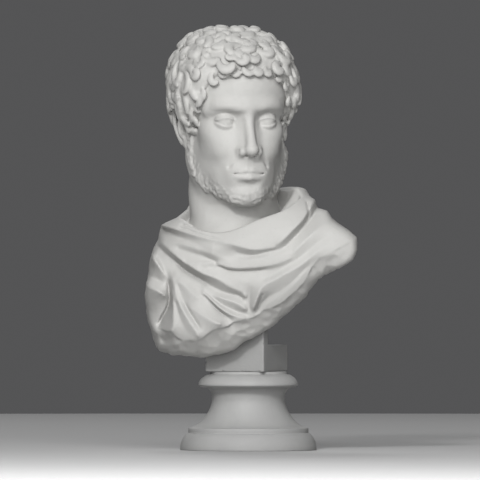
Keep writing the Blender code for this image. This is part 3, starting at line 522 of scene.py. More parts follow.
def scattered(rng, spacing, trials=6000):
    """Directions scattered over a sphere, no two of them nearer than the spacing."""
    kept = np.zeros((1, 3))
    for _ in range(trials):
        trial = np.array([rng.gauss(0, 1) for _ in range(3)])
        trial /= np.linalg.norm(trial)
        if np.min(np.linalg.norm(kept - trial, axis=1)) > spacing:
            kept = np.vstack([kept, trial])
    return kept[1:]


def lock_course(length, turn, lead, wind):
    """Where a lock runs in its own plane: it sets out at the lead and winds in by the turn."""
    points, x, y = [], 0.0, 0.0
    for step in range(LOCK_STEPS + 1):
        points.append((x, y))
        heading = lead + turn * (step / LOCK_STEPS) ** wind
        x += math.sin(heading) * length / LOCK_STEPS
        y += math.cos(heading) * length / LOCK_STEPS
    middle = np.mean(points, axis=0)
    return [(x - middle[0], y - middle[1]) for x, y in points]


def lay_lock(clay, spot, normal, flow, shape, bow=62.0):
    """Lay one lock on the surface, its root low and its tip lifted, bowed over the head."""
    normal = Vector(normal)
    along = (Vector(flow) - normal * normal.dot(Vector(flow))).normalized()
    rows = [normal.cross(along), along, normal]
    course = lock_course(shape["length"], shape["turn"], shape["lead"], shape["wind"])
    shares = [step / LOCK_STEPS for step in range(LOCK_STEPS + 1)]
    widths = [shape["width"] * float(np.interp(share, *LOCK_WIDTHS)) for share in shares]
    lifts = [
        shape["root"] + (shape["tip"] - shape["root"]) * share - (x * x + y * y) / (2.0 * bow)
        for share, (x, y) in zip(shares, course)
    ]
    form = lock(tuple(spot), rows, course, widths, lifts, shape["flat"], shape["strands"], shape["cut"])
    clay.add(form, shape["blend"])


def hair_cap(hair, scalp):
    """The mass of the hair under its locks, drawn in where it ends so that the locks hang over."""
    cells, place = scalp.band(CAP_REACH)
    across, back, up = in_head(place)
    over = up - hair_level(across, back)
    depth = CAP_DEPTH * HEAD_HEIGHT * hair_fullness(up) * (0.20 + 0.80 * ease(over, 0.01, 0.16))
    hair.field[cells] = smooth_max(scalp.field[cells] - depth, (CAP_EDGE - over) * HEAD_HEIGHT, 6.0)


def comma(rng, up, angle):
    """The shape of one lock: a tight curl in front and behind, a longer wave at the sides."""
    hand = rng.choice((-1, 1))
    side = float(ease(abs(angle), 40, 62) * (1.0 - ease(abs(angle), 118, 145)) * (1.0 - ease(up, 0.74, 0.9)))
    top = float(ease(up, 0.93, 1.03))
    curl = {
        "length": rng.uniform(17, 27), "turn": hand * rng.uniform(2.4, 5.2), "lead": -hand * 0.5,
        "wind": rng.uniform(1.4, 2.2), "width": rng.uniform(4.2, 6.4), "tip": rng.uniform(0.0, 2.0),
    }
    wave = {
        "length": rng.uniform(24, 32), "turn": hand * rng.uniform(1.4, 2.8), "lead": -hand * 0.8,
        "wind": 1.5, "width": rng.uniform(4.2, 5.4), "tip": rng.uniform(0.2, 2.0),
    }
    if rng.random() < side:
        curl = wave
    curl.update(root=-1.8, flat=0.60 - 0.10 * top, strands=2.0, cut=0.8, blend=0.5)
    return curl


def model_hair(clay):
    """Thick short locks over the scalp, each a comma that winds its own way, over a cap of hair."""
    rng = random.Random(HAIR_SEED)
    scalp, hair = Clay(clay.step), Clay(clay.step)
    scalp.margin = SCALP_MARGIN
    model_skull(HeadTools(scalp))
    hair_cap(hair, scalp)
    whorl = Vector(from_head(WHORL))
    middle = np.array(from_head(HEAD_MIDDLE))
    spots = scattered(rng, LOCK_SPACING)
    points, normals = scalp.surface(middle, spots, reach=110.0)
    for point, normal in zip(points, normals):
        across, back, up = in_head(point)
        if up < hair_level(across, back) + LOCK_CLEARANCE:
            continue
        angle = math.degrees(math.atan2(abs(across), HAIR_CENTRE - back))
        shape = comma(rng, up, angle)
        flow = Vector(point) - whorl
        flow.rotate(Matrix.Rotation(rng.gauss(0, LOCK_SWING), 3, Vector(normal)))
        thin = float(ease(angle, 36, 48) * (1.0 - ease(up - hair_level(across, back), 0.05, 0.20)))
        seat = LOCK_SEAT * HEAD_HEIGHT * float(hair_fullness(up)) * (1.0 - 0.5 * thin)
        seat += rng.uniform(-1.6, 1.2)
        lay_lock(hair, point + normal * seat, normal, flow, shape)
    model_hairline(hair, scalp, middle, rng)
    for side in (1, -1):
        hair.carve(ear_zone(side), 2.0)
    rub_down(hair)
    clay.field = smooth_min(clay.field, hair.field, 1.0)


def rub_down(clay):
    """Blend each cell with its neighbours, which rubs thin slivers away."""
    for axis in range(3):
        before = np.roll(clay.field, 1, axis)
        clay.field = 0.5 * clay.field + 0.25 * (before + np.roll(clay.field, -1, axis))


def model_hairline(hair, scalp, middle, rng):
    """The row of locks that hang over the forehead, the temples, the ears and the nape."""
    angle, hand = -180.0, 1
    while angle < 180.0:
        level = float(np.interp(abs(angle), *zip(*HAIR_LEVELS))) + 0.035
        towards = Vector((math.sin(math.radians(angle)), -math.cos(math.radians(angle)), 0)) * 0.36
        target = Vector((towards.x, towards.y + HAIR_CENTRE, level))
        start = Vector((towards.x * 0.3, towards.y * 0.3 + HAIR_CENTRE, level + 0.04))
        ray = (HEAD_ROTATION @ (target - start)).normalized()
        points, normals = scalp.surface(np.array([from_head(start)]), np.array([ray]), reach=90.0)
        if rng.random() < 0.6:
            hand = -hand
        front = abs(angle) < 94
        burn = float(ease(abs(angle), 44, 54)) if front else 0.0
        shape = {
            "length": rng.uniform(14, 20) * (1.0 - 0.22 * burn) if front else rng.uniform(18, 26),
            "turn": hand * (rng.uniform(2.6, 5.0) if front else rng.uniform(1.0, 2.4)),
            "lead": -hand * 0.6, "wind": 1.8,
            "width": rng.uniform(4.0, 5.4) * (1.0 - 0.25 * burn) if front else 4.4,
            "tip": -1.0 * burn, "root": 0.5, "flat": 0.62, "strands": 2.0, "cut": 0.8, "blend": 0.5,
        }
        down = HEAD_ROTATION @ Vector((0, 0, -1))
        down.rotate(Matrix.Rotation(rng.gauss(0, 0.3), 3, Vector(normals[0])))
        share = 0.42 - 0.26 * burn if front else 0.5
        seat = LOCK_SEAT * HEAD_HEIGHT * share + rng.uniform(-1.3, 1.3)
        lay_lock(hair, points[0] + normals[0] * seat, normals[0], down, shape)
        angle += math.degrees(HAIRLINE_SPACING / HAIRLINE_RADIUS) * rng.uniform(0.9, 1.1)


# The beard: a close band along the jaw, from the sideburn to under the chin
BEARD_LINE = [(0.285, -0.045, 0.47), (0.270, -0.04, 0.37), (0.250, -0.05, 0.26), (0.205, -0.13, 0.145),
              (0.135, -0.235, 0.090), (0.06, -0.315, 0.045), (0.0, -0.33, 0.032)]
BEARD_ROWS = [-0.030, -0.004, 0.022, 0.048, 0.074]
BEARD_SEED = 8
TUFT_SEAT = -0.35


def model_beard(clay):
    """A short beard of small flat curls along the jaw, fading up the cheek."""
    rng = random.Random(BEARD_SEED)
    line = flowing(BEARD_LINE, 9)
    laid = []
    for side in (1, -1):
        for row, rise in enumerate(BEARD_ROWS):
            for place in line[row % 2::2]:
                spot = Vector((place[0] * side, place[1], place[2] + rise))
                spot += Vector([rng.uniform(-0.007, 0.007) for _ in range(3)])
                outward = Vector((spot.x, spot.y + 0.08, 0.5 * (spot.z - 0.35)))
                start = spot - 0.6 * outward
                laid.append((from_head(start), HEAD_ROTATION @ outward.normalized(), row))
    starts = np.array([item[0] for item in laid])
    rays = np.array([tuple(item[1]) for item in laid])
    points, normals = clay.surface(starts, rays, reach=70.0)
    for point, normal, (_, _, row) in zip(points, normals, laid):
        hand = rng.choice((-1, 1))
        fade = 1.0 - 0.13 * row
        shape = {
            "length": rng.uniform(7.5, 10.5) * fade, "turn": hand * rng.uniform(2.0, 3.8), "lead": 0.0,
            "wind": 1.2, "width": rng.uniform(2.1, 2.8) * fade, "tip": 0.7 * fade, "root": -0.9,
            "flat": 0.75, "strands": 1.0, "cut": 0.15, "blend": 0.8,
        }
        flow = HEAD_ROTATION @ Vector((0, -0.45, -1)).normalized()
        flow.rotate(Matrix.Rotation(rng.gauss(0, 0.5), 3, Vector(normal)))
        lay_lock(clay, point + normal * TUFT_SEAT, normal, flow, shape)


# The cloak's relief is laid out on the picture plane: across to the right of the socle's axis, and up
# from the bust's lowest edge, in grid units. The cloth is drawn over wires, the crests and the troughs
# of its folds; each is a path of points across, up and out.
PICTURE_STEP = 0.75
PICTURE_LOW = (-132.0, -20.0)
PICTURE_HIGH = (132.0, 212.0)
FRONT_WIRES = [
    # the collar: its crest on the left and in front, and the trough under it
    [(-90, 133, 3), (-75, 129, 4.5), (-60, 124.5, 5), (-45, 120.5, 5.5), (-25, 116, 5.5), (-8, 111.5, 5.5),
     (4, 109, 4.5), (16, 109.5, 3), (26, 111, 2.5)],
    [(-90, 129, -2), (-80, 125.5, -3), (-70, 121, -3), (-55, 115.5, -2.5), (-42, 111, -2), (-28, 108, -2),
     (-15, 107.5, -1.5), (-5, 104, -1.5), (6, 103, -1.5), (16, 105.5, -1), (26, 108, -1)],
    [(66, 158, 3), (60, 147, 4), (53, 137, 4.5), (45, 129, 5), (36, 120, 4.5), (29, 114, 3)],
    [(72, 157, -2), (66, 145, -3), (60, 137, -3.5), (53, 129, -3.5), (46, 121, -3), (39, 114, -2.5),
     (32, 109, -1.5), (26, 108, -1)],
    # the swags across the chest
    [(-8, 99, 1), (6, 100, 1.5), (20, 102, 1.5), (34, 104, 1), (44, 109, 0)],
    [(-84, 118, 0), (-66, 114, 1.5), (-50, 109, 1.5), (-34, 103.5, 1.5), (-20, 98, 1.5)],
    [(-70, 109, -0.5), (-58, 106, -1.5), (-46, 102.5, -2), (-38, 99, -2), (-32, 96, -1.5)],
    [(-64, 96, 1.5), (-53, 95, 2.5), (-43, 95, 2), (-35, 96, 1)],
    [(-30, 94.5, 1.5), (-23, 92, 2.2), (-12, 90.5, 2.4), (2, 91, 2.4), (14, 92, 2.2), (28, 94.5, 1.6),
     (42, 100, 1)],
    [(-38, 91.5, 0), (-28, 89.5, -1), (-20, 86.5, -1.2), (-8, 86, -1.2), (6, 86.5, -1.2), (18, 88, -1.2),
     (32, 91.5, -1), (44, 97, -1)],
    [(-46, 90, 1), (-30, 84, 1), (-12, 79, 1), (0, 76, 1)],
    # the long diagonal fold from the arm to the middle
    [(-86, 115, 0.5), (-78, 107, 1.5), (-70, 100, 2.5), (-61, 94, 3), (-53, 88.5, 3.5), (-45, 84.5, 3.5),
     (-35, 81, 3), (-26, 76, 2.5), (-18, 71, 2), (-8, 67, 1.5), (-3, 62, 1.5)],
    [(-92, 113, -2), (-85, 106, -4), (-76, 99, -6), (-68, 91.5, -8), (-60, 85.5, -8.5), (-52, 81, -8),
     (-44, 76, -7), (-35, 71, -6), (-26, 66.5, -5), (-18, 64, -4), (-10, 62.5, -3.5), (-5, 59, -3)],
    # the folds under it that run down to the right
    [(-72, 84, -3), (-62, 76, -2.5), (-53, 69, -2), (-47, 66, -2)],
    [(-70, 77, -0.5), (-60, 68, 1), (-51, 60, 2.5)],
    [(-44, 70, -2), (-36, 63.5, -1.5), (-28, 60.5, 1.5), (-18, 57.5, 2.5), (-9, 53.5, 3), (-3, 49, 3)],
    [(-43, 66.5, -1.5), (-35, 60, -1.5), (-27, 54, -1), (-19, 50, -1), (-11, 46.5, -1), (-2, 44, -1)],
    [(-46, 65.5, 0), (-39, 59.5, 3), (-31, 52.5, 4.5), (-23, 46.5, 5), (-14, 42.5, 4.5), (-4, 40.5, 3)],
    [(-46, 63, -1), (-41, 57.5, -1), (-35, 51.5, -1), (-29, 46, -0.5), (-23, 42, 0), (-17, 38.5, 0.5)],
    # the fan at the lower left
    [(-58, 50, 4), (-48, 44, 6.5), (-38, 38, 9.5), (-28, 34, 10)],
    [(-70, 72, -1.5), (-67, 62, 0), (-62, 51, 2), (-56, 41, 4.5), (-48, 30, 7.5)],
    [(-76, 80, -1.5), (-74, 70, 1), (-71, 59, 3.5), (-66.5, 49, 6), (-61, 39.5, 8.5), (-54, 29, 10.5),
     (-50, 22, 11)],
    [(-73, 56, 1.5), (-70, 45, 3.5), (-66, 35, 6), (-60, 25, 8), (-56, 19, 9)],
    [(-76.5, 66, -0.5), (-75.5, 56, 2.5), (-75, 45, 5.5), (-75, 34, 8), (-77, 27, 9)],
    [(-80, 84, -4), (-80, 72, -6), (-79, 60, -7.5), (-80.5, 50, -7.5), (-85, 41, -6), (-90, 31, -4)],
    # the arm's shaded side
    [(-104, 72, 3), (-96, 69, 4), (-88, 65, 3), (-84, 62, 0)],
    [(-102, 82, -2), (-94, 80, -2.5), (-87, 76, -4)],
    [(-98, 104, 2), (-93, 96, 3), (-88, 89, 1), (-84, 82, -2)],
    [(-99, 96, -1), (-96, 88, -2)],
    [(-90, 102, -2), (-86, 93, -2.5), (-82, 84, -3.5)],
    [(-104, 50, -3), (-96, 46, -3.5), (-90, 42, -4.5)],
    # the right shoulder and its folds
    [(86, 142, 1), (74, 133, 2), (64, 125, 3), (55, 116, 3), (46, 107, 2)],
    [(80, 122, 0), (70, 116, 0), (58, 106, 0), (47, 98, -0.5), (36, 91, -1), (26, 85, -1),
     (16, 80, -0.5)],
    [(84, 117, 1), (76, 111, 1.5), (67, 105.5, 2.5), (58, 98, 3), (49, 91, 3.2), (39, 86, 3.4),
     (29, 80.5, 3.6), (19, 75.5, 4.2), (13, 70.5, 5), (10, 64, 5.5), (7.5, 57, 5), (5, 50, 3.5)],
    [(2, 70, 0), (1, 63, -1), (1, 56, -1), (1, 48, -1)],
    [(66, 97, 1), (56, 88.5, 0.6), (47, 79.5, 0.6), (38, 72, 0.5), (29, 66, 0), (21, 62, -0.6),
     (15, 57, -2), (11, 50, -2), (7, 45, -1.5)],
    [(72, 101, 1), (62, 93, 1), (54, 84, 1.5), (46, 74.5, 1.5), (38, 67, 1), (28, 60, 0.5), (19, 54, 0)],
    [(92, 122, 1), (104, 116, 1)],
    [(-60, 172, 0), (0, 180, 0), (60, 176, 0), (112, 130, 0), (120, 90, 0), (60, 40, 0), (0, 0, 2),
     (-50, -8, 4), (-96, -6, 2), (-120, 40, 0), (-120, 100, 0), (-100, 140, 0), (-60, 172, 0)],
]
BACK_WIRES = [
    [(-70, 150, 2), (-20, 136, 4), (30, 120, 4), (86, 98, 2)],
    [(-74, 138, -2), (-22, 120, -3), (28, 104, -3), (84, 84, -2)],
    [(-76, 126, 2), (-26, 106, 3.5), (24, 90, 3.5), (80, 66, 2)],
    [(-80, 110, -2), (-32, 92, -3), (18, 76, -3), (70, 52, -2)],
    [(-86, 96, 2), (-50, 82, 3), (-6, 68, 3), (50, 44, 2)],
    [(-96, 60, -2), (-60, 58, -2), (-20, 50, -2)],
    [(-120, 180, 0), (120, 180, 0), (120, 20, 0), (-120, 20, 0), (-120, 180, 0)],
]
# Narrow grooves where two folds press together: the path, and how deep and how wide
CREASES = [
    ([(-70, 134), (-58, 131.5), (-48, 129), (-38, 127.3), (-27, 126)], 1.6, 1.0),
    ([(-72, 130.5), (-62, 128.5), (-54, 125.5), (-46, 123), (-36, 120.5), (-26, 119.5)], 1.4, 1.0),
    ([(58, 158), (60.5, 148), (59.5, 141), (55, 134)], 1.5, 1.4),
    ([(-34, 92.5), (-27, 91), (-20, 88.3), (-8, 87.6), (8, 88.2), (22, 90)], 2.2, 1.2),
    ([(-46, 64.3), (-39, 57.5), (-31, 49), (-24, 43.5), (-19, 40)], 2.2, 1.2),
    ([(-80, 80), (-79, 68), (-78.5, 58), (-81, 49), (-87, 38), (-91, 29)], 3.0, 1.6),
    ([(15, 66), (12, 59), (9.5, 52), (6, 45)], 1.5, 1.4),
    ([(-73, 97), (-64, 89), (-56, 84), (-47, 79), (-37, 73)], 2.0, 1.8),
    ([(-47, 27), (-54, 38), (-60, 48), (-66, 58)], 1.2, 1.4),
]
RIM_UPPER = [(-104, 35), (-89, 30), (-82, 27), (-77, 26), (-71, 20), (-65, 18), (-52, 17.5), (-45, 21),
             (-40, 25), (-35, 29), (-25, 31), (-20, 32), (-15, 36), (-5, 38.5), (5, 41), (12, 45),
             (15, 49), (25, 51), (30, 54), (36, 57), (41, 62), (48, 68), (55, 75), (60, 84), (64, 92),
             (70, 100), (80, 105), (88, 109), (97, 114), (114, 122)]
CHEST_OUTLINE = [
    (-88, 132), (-90, 117), (-95, 108), (-102, 85), (-106, 55), (-100, 32), (-96, 20), (-93, 10),
    (-89, 5), (-78, 2), (-57, 0), (-43, -1), (-26, 3), (-14, 7), (-5, 14), (13, 22), (29, 34),
    (42, 46), (55, 57), (64, 69), (71, 78), (82, 85), (96, 91), (105, 98), (109, 108), (109, 120),
    (101, 127), (90, 134), (84, 139), (79, 147), (71, 150), (69, 157), (66, 163), (58, 170),
    (40, 176), (0, 190), (-60, 180), (-58, 158), (-62, 147), (-72, 139),
]
# Lumps and dents of the torn corner at the lower left: across, up, size, and how far out
CORNER_LUMPS = [(-92, 27, 5, 2.2), (-86, 18, 5, -2.6), (-79, 24, 4, 1.8), (-74, 13, 5, 2.0),
                (-90, 9, 4, 1.6), (-82, 5, 5, -2.0), (-66, 8, 5, 1.6), (-96, 17, 4, -1.6)]
RIM_SLOPE = 0.36
RIM_DEPTH = 12.0
RIM_FADE = (78.0, 112.0)
RIM_SEED = 5
RIM_CHIPS = 170
RIM_CHIP_SIZES = (3.0, 10.0)
RIM_CHIP_DEPTHS = (0.10, 0.30)
BITE_SEED = 3
BITES = 70
BITE_SIZES = (2.5, 7.0)
BITE_DEPTHS = (0.4, 1.8)
BITTEN_BELOW = 95.0
RELAX_ROUNDS = 70
CLOTH_SOFTNESS = 1


def picture_plane(place):
    """Grid coordinates as the picture plane's: how far across it, and how far behind the axis."""
    across = place[0] * math.cos(VIEW_TURN) + place[1] * math.sin(VIEW_TURN)
    behind = place[1] * math.cos(VIEW_TURN) - place[0] * math.sin(VIEW_TURN)
    return across, behind


def from_picture(across, behind, up):
    """A point of the picture plane in grid units."""
    return (across * math.cos(VIEW_TURN) - behind * math.sin(VIEW_TURN),
            across * math.sin(VIEW_TURN) + behind * math.cos(VIEW_TURN), up)


def along_path(points, across, up):
    """Distance from a path, its side (1 is left of it) and the share of its length passed."""
    steps = [math.dist(a, b) for a, b in zip(points, points[1:])]
    best, side, passed = np.full(across.shape, 1e9), np.ones(across.shape), np.zeros(across.shape)
    gone = 0.0
    for (start, end, length) in zip(points, points[1:], steps):
        run = (end[0] - start[0], end[1] - start[1])
        share = ((across - start[0]) * run[0] + (up - start[1]) * run[1]) / length ** 2
        held = np.clip(share, 0.0, 1.0)
        gap = np.hypot(across - start[0] - held * run[0], up - start[1] - held * run[1])
        turn = run[0] * (up - start[1]) - run[1] * (across - start[0])
        nearer = gap < best
        best = np.where(nearer, gap, best)
        side = np.where(nearer, np.sign(turn), side)
        passed = np.where(nearer, (gone + held * length) / sum(steps), passed)
        gone += length
    return best, side, passed


def closed_outline(points, across, up):
    """Signed distance to a closed outline that runs anticlockwise, negative inside."""
    ring = [*points, points[0]]
    gap, _, _ = along_path(ring, across, up)
    inside = np.zeros(across.shape, bool)
    for start, end in zip(ring, ring[1:]):
        spans = (start[1] > up) != (end[1] > up)
        rise = (end[1] - start[1]) or 1e-9
        inside ^= spans & (across < start[0] + (up - start[1]) / rise * (end[0] - start[0]))
    return np.where(inside, -gap, gap)


def drawn_over(height, held):
    """A cloth drawn tight over the held cells, found from a coarse grid down to the fine one."""
    cloth = None
    columns, rows = np.nonzero(held)
    for coarse in (16, 8, 4, 2, 1):
        shape = [-(-count // coarse) for count in held.shape]
        total, count = np.zeros(shape), np.zeros(shape)
        np.add.at(total, (columns // coarse, rows // coarse), height[held])
        np.add.at(count, (columns // coarse, rows // coarse), 1.0)
        fixed = count > 0
        wires = total / np.maximum(count, 1.0)
        if cloth is None:
            cloth = np.zeros(shape)
        else:
            cloth = np.repeat(np.repeat(cloth, 2, 0), 2, 1)[:shape[0], :shape[1]]
        for _ in range(RELAX_ROUNDS):
            cloth = np.where(fixed, wires, cloth)
            wide = np.pad(cloth, 1, mode="edge")
            cloth = 0.25 * (wide[2:, 1:-1] + wide[:-2, 1:-1] + wide[1:-1, 2:] + wide[1:-1, :-2])
        cloth = np.where(fixed, wires, cloth)
    return cloth


def softened(table, rounds):
    """The table with its neighbouring cells blended, once for each round."""
    for _ in range(rounds):
        wide = np.pad(table, 1, mode="edge")
        table = 0.25 * wide[2:, :] + 0.5 * wide[1:-1, :] + 0.25 * wide[:-2, :]
        table = 0.25 * table[:, 2:] + 0.5 * table[:, 1:-1] + 0.25 * table[:, :-2]
    return table


class Picture:
    """Tables over the picture plane: the cloak's relief in front and behind, its rim and outline."""

    def __init__(self, height):
        axes = [np.arange(low, high, PICTURE_STEP) for low, high in zip(PICTURE_LOW, PICTURE_HIGH)]
        self.across, self.up = np.meshgrid(*axes, indexing="ij")
        self.front = (self.cloth(FRONT_WIRES) - self.creases()) * height - self.fall()
        self.back = self.cloth(BACK_WIRES) * height
        self.outline = closed_outline(CHEST_OUTLINE, self.across, self.up) + self.bites()

    def cloth(self, wires):
        """The height of a cloth drawn over wires."""
        held, height = np.zeros(self.across.shape, bool), np.zeros(self.across.shape)
        for wire in wires:
            longest = max(math.dist(a[:2], b[:2]) for a, b in zip(wire, wire[1:]))
            for across, up, out in flowing(wire, 1 + int(longest / PICTURE_STEP)):
                column = min(int(round((across - PICTURE_LOW[0]) / PICTURE_STEP)), held.shape[0] - 1)
                row = min(int(round((up - PICTURE_LOW[1]) / PICTURE_STEP)), held.shape[1] - 1)
                held[column, row], height[column, row] = True, out
        return softened(drawn_over(height, held), CLOTH_SOFTNESS)

    def creases(self):
        """How deep the narrow grooves are, fading at both ends."""
        total = np.zeros(self.across.shape)
        for points, depth, width in CREASES:
            gap, _, passed = along_path(flowing(points, 5), self.across, self.up)
            ends = ease(passed, 0.0, 0.15) * (1.0 - ease(passed, 0.8, 1.0))
            total = np.maximum(total, depth * ends * np.exp(-(gap / width) ** 2))
        return total

    def fall(self):
        """How far the broken edge falls back below the cloak's lower border, with scalloped chips."""
        gap, side, _ = along_path(RIM_UPPER, self.across, self.up)
        below = np.maximum(-side * gap, 0.0)
        rng = random.Random(RIM_SEED)
        path = flowing(RIM_UPPER, 6)
        chips = np.zeros(self.across.shape)
        for _ in range(RIM_CHIPS):
            across, up = rng.choice(path)
            size = rng.uniform(*RIM_CHIP_SIZES)
            across += rng.uniform(-4, 4)
            up -= rng.uniform(0.2, 24.0)
            away = np.hypot(self.across - across, (self.up - up) * rng.uniform(0.8, 1.6)) / size
            chips = np.maximum(chips, rng.uniform(*RIM_CHIP_DEPTHS) * size * (1.0 - away * away))
        lumps = sum(out * np.exp(-((self.across - across) ** 2 + (self.up - up) ** 2) / (0.5 * size * size))
                    for across, up, size, out in CORNER_LUMPS)
        depth = np.minimum(below * RIM_SLOPE, RIM_DEPTH) + chips * ease(below, -0.1, 1.0)
        return depth * (1.0 - ease(self.across, *RIM_FADE)) - lumps

    def bites(self):
        """How deep small bites reach in along the broken lower outline."""
        rng = random.Random(BITE_SEED)
        path = [point for point in flowing(CHEST_OUTLINE, 4) if point[1] < BITTEN_BELOW]
        deepest = np.zeros(self.across.shape)
        for _ in range(BITES):
            across, up = rng.choice(path)
            away = np.hypot(self.across - across, self.up - up) / rng.uniform(*BITE_SIZES)
            deepest = np.maximum(deepest, rng.uniform(*BITE_DEPTHS) * np.exp(-away * away))
        return deepest

    def read(self, table, across, up):
        """The table's values at picture coordinates, read between its own."""
        column = np.clip((across - PICTURE_LOW[0]) / PICTURE_STEP, 0, table.shape[0] - 1.001)
        row = np.clip((up - PICTURE_LOW[1]) / PICTURE_STEP, 0, table.shape[1] - 1.001)
        i, j = column.astype(int), row.astype(int)
        a, b = column - i, row - j
        return ((1 - a) * (1 - b) * table[i, j] + a * (1 - b) * table[i + 1, j]
                + (1 - a) * b * table[i, j + 1] + a * b * table[i + 1, j + 1])


def model_chest(clay):
    """The chest, shoulders and arms under the cloak, as one smooth mass."""
    masses = [
        ((-4, -6, 88), (86, 54, 100), 0),
        ((-26, -32, 62), (72, 40, 84), 22),
        ((40, -22, 96), (58, 42, 62), 22),
    ]
    for centre, radii, blend in masses:
        clay.add(ellipsoid(centre, radii), blend)
    limbs = [
        ([(-66, 4, 104), (74, 2, 116)], [34, 34], 24),
        ([(-72, 2, 98), (-76, -6, 16)], [31, 36], 20),
        ([(72, 4, 114), (98, -6, 102)], [32, 38], 18),
        ([(-12, 4, 124), (-12, -2, 168)], [52, 38], 20),
    ]
    for points, radii, blend in limbs:
        clay.add(tube(points, radii), blend)


# The opening for the neck: two hollows, each its centre across, behind and up, and its radii
NECK_OPENINGS = [((-20, -16, 168), (54, 70, 55)), ((22, -34, 170), (31, 44, 35))]
OPENING_BLEND = 22.0
OPENING_ROOM = 6.0
OPENING_LIP = 4.0
COLLAR_ROLL = [(-8, -66, 109), (-46, -50, 116), (-64, -12, 128), (-54, 32, 146), (-10, 50, 156),
               (34, 38, 162), (54, 4, 159), (48, -34, 133), (24, -58, 116), (-8, -66, 109)]
ROLL_RADIUS = 8.5
ROLL_BLEND = 8.0

# How near the surface the folds reach, and where they fade, in front and behind, towards the sides
FOLD_REACH = 26.0
FRONT_FADE = (0.0, 32.0)
BACK_FADE = (4.0, 34.0)
OUTLINE_BLEND = 7.0
CLOAK_BLEND = 3.0

# The hollow behind the chest: its centre and radii
BACK_HOLLOW = ((0, 38, 22), (72, 78, 78))
HOLLOW_BLEND = 5.0


def neck_opening():
    """The two hollows run together as one form."""
    right, back = (math.cos(VIEW_TURN), math.sin(VIEW_TURN)), (-math.sin(VIEW_TURN), math.cos(VIEW_TURN))
    rows = [(*right, 0), (*back, 0), (0, 0, 1)]
    left_hollow, right_hollow = (ellipsoid(from_picture(*centre), radii, rows)
                                 for centre, radii in NECK_OPENINGS)

    def distance(place):
        return smooth_min(left_hollow.distance(place), right_hollow.distance(place), OPENING_BLEND)

    corners = [left_hollow.low, left_hollow.high, right_hollow.low, right_hollow.high]
    return Form(distance, corners, OPENING_ROOM)


def dress_chest(clay, picture):
    """The cloak's folds and roll, its broken lower edge and the opening for the neck."""
    cells, place = clay.band(FOLD_REACH)
    across, behind = picture_plane(place)
    front = picture.read(picture.front, across, place[2]) * (1.0 - ease(behind, *FRONT_FADE))
    back = picture.read(picture.back, across, place[2]) * ease(behind, *BACK_FADE)
    clay.field[cells] -= front + back
    clay.carve(neck_opening(), OPENING_LIP)
    roll = flowing(COLLAR_ROLL, 4)
    clay.add(tube(roll, [ROLL_RADIUS] * len(roll)), ROLL_BLEND)
    cells, place = clay.band(FOLD_REACH)
    across, _ = picture_plane(place)
    edge = picture.read(picture.outline, across, place[2])
    clay.field[cells] = smooth_max(clay.field[cells], edge, OUTLINE_BLEND)


def trim_far_cells(clay, picture):
    """Open every cell outside the cloak's outline, also those far from the surface."""
    across, _ = picture_plane([clay.axes[0][:, None], clay.axes[1][None, :]])
    for index, level in enumerate(clay.axes[2]):
        edge = picture.read(picture.outline, across, np.full_like(across, level))
        clay.field[:, :, index] = np.maximum(clay.field[:, :, index], edge)


def in_grid(point):
    """A point in metres as a point in grid units."""
    return Vector((point[0], point[1], point[2] - GRID_BASE)) / UNIT


def support_forms(gap, edge):
    """The support's block and the slab that rises at its front, grown by a gap, edges worn round."""
    low, high = in_grid(SUPPORT_LOW), in_grid(SUPPORT_HIGH)
    grown = Vector((gap, gap, gap)) / UNIT
    block_corner = Vector((high.x, high.y, low.z + BLOCK_HEIGHT / UNIT))
    slab_corner = Vector((high.x, low.y + SLAB_THICKNESS / UNIT, high.z))
    return [block(low - grown, corner + grown, edge / UNIT) for corner in (block_corner, slab_corner)]


def carve_support(step):
    """The support as clay of its own, with small chips along its edges."""
    low, high = in_grid(SUPPORT_LOW), in_grid(SUPPORT_HIGH)
    room = Vector((4, 4, 4))
    clay = Clay(step, low - room, high + room)
    for form in support_forms(0.0, EDGE_WEAR):
        clay.add(form, CUT_BLEND)
    rng = random.Random(SUPPORT_SEED)
    for _ in range(SUPPORT_CHIPS):
        spot = [rng.choice(ends) for ends in zip(low, high)]
        along = rng.randrange(3)
        spot[along] = rng.uniform(low[along], high[along])
        clay.carve(ellipsoid(spot, [rng.uniform(*CHIP_RADII) for _ in range(3)]), 0.5)
    return clay


def model_neck(clay):
    """The neck, its foot in the cloak and a cord down each side."""
    clay.add(ellipsoid((-10, -22, 112), (52, 38, 26)), 10.0)
    clay.add(tube([(-12, 0, 104), (-13, -6, 158), (-11, -6, 205)], [50, 43, 44]), 14.0)
    for cord in ([(-48, 4, 200), (-42, -22, 160), (-16, -44, 120)],
                 [(24, 16, 200), (20, -18, 160), (-6, -46, 120)]):
        clay.add(tube(flowing(cord), [8.0] * 13), 14.0)


def sculpt_bust(step, fold_height):
    """The whole bust as clay, with the bed for its support cut out."""
    figure = Clay(step)
    model_head(figure)
    model_neck(figure)
    model_beard(figure)
    model_hair(figure)
    cloak, picture = Clay(step), Picture(fold_height)
    model_chest(cloak)
    dress_chest(cloak, picture)
    trim_far_cells(cloak, picture)
    figure.field = smooth_min(figure.field, cloak.field, CLOAK_BLEND)
    figure.carve(ellipsoid(*BACK_HOLLOW), HOLLOW_BLEND)
    for form in support_forms(BED_GAP, 0.0):
        figure.carve(form, CUT_BLEND)
    return figure


def largest_piece(points, faces):
    """Only the connected piece with the most points, so that no stray crumb is left."""
    owner = np.arange(len(points))
    while True:
        lowest = owner.copy()
        ring = owner[faces].min(axis=1)
        for corner in range(faces.shape[1]):
            np.minimum.at(lowest, faces[:, corner], ring)
        lowest = lowest[lowest]
        if np.array_equal(lowest, owner):
            break
        owner = lowest
    names, counts = np.unique(owner, return_counts=True)
    kept = owner == names[np.argmax(counts)]
    numbers = np.cumsum(kept) - 1
    return points[kept], numbers[faces[kept[faces[:, 0]]]]


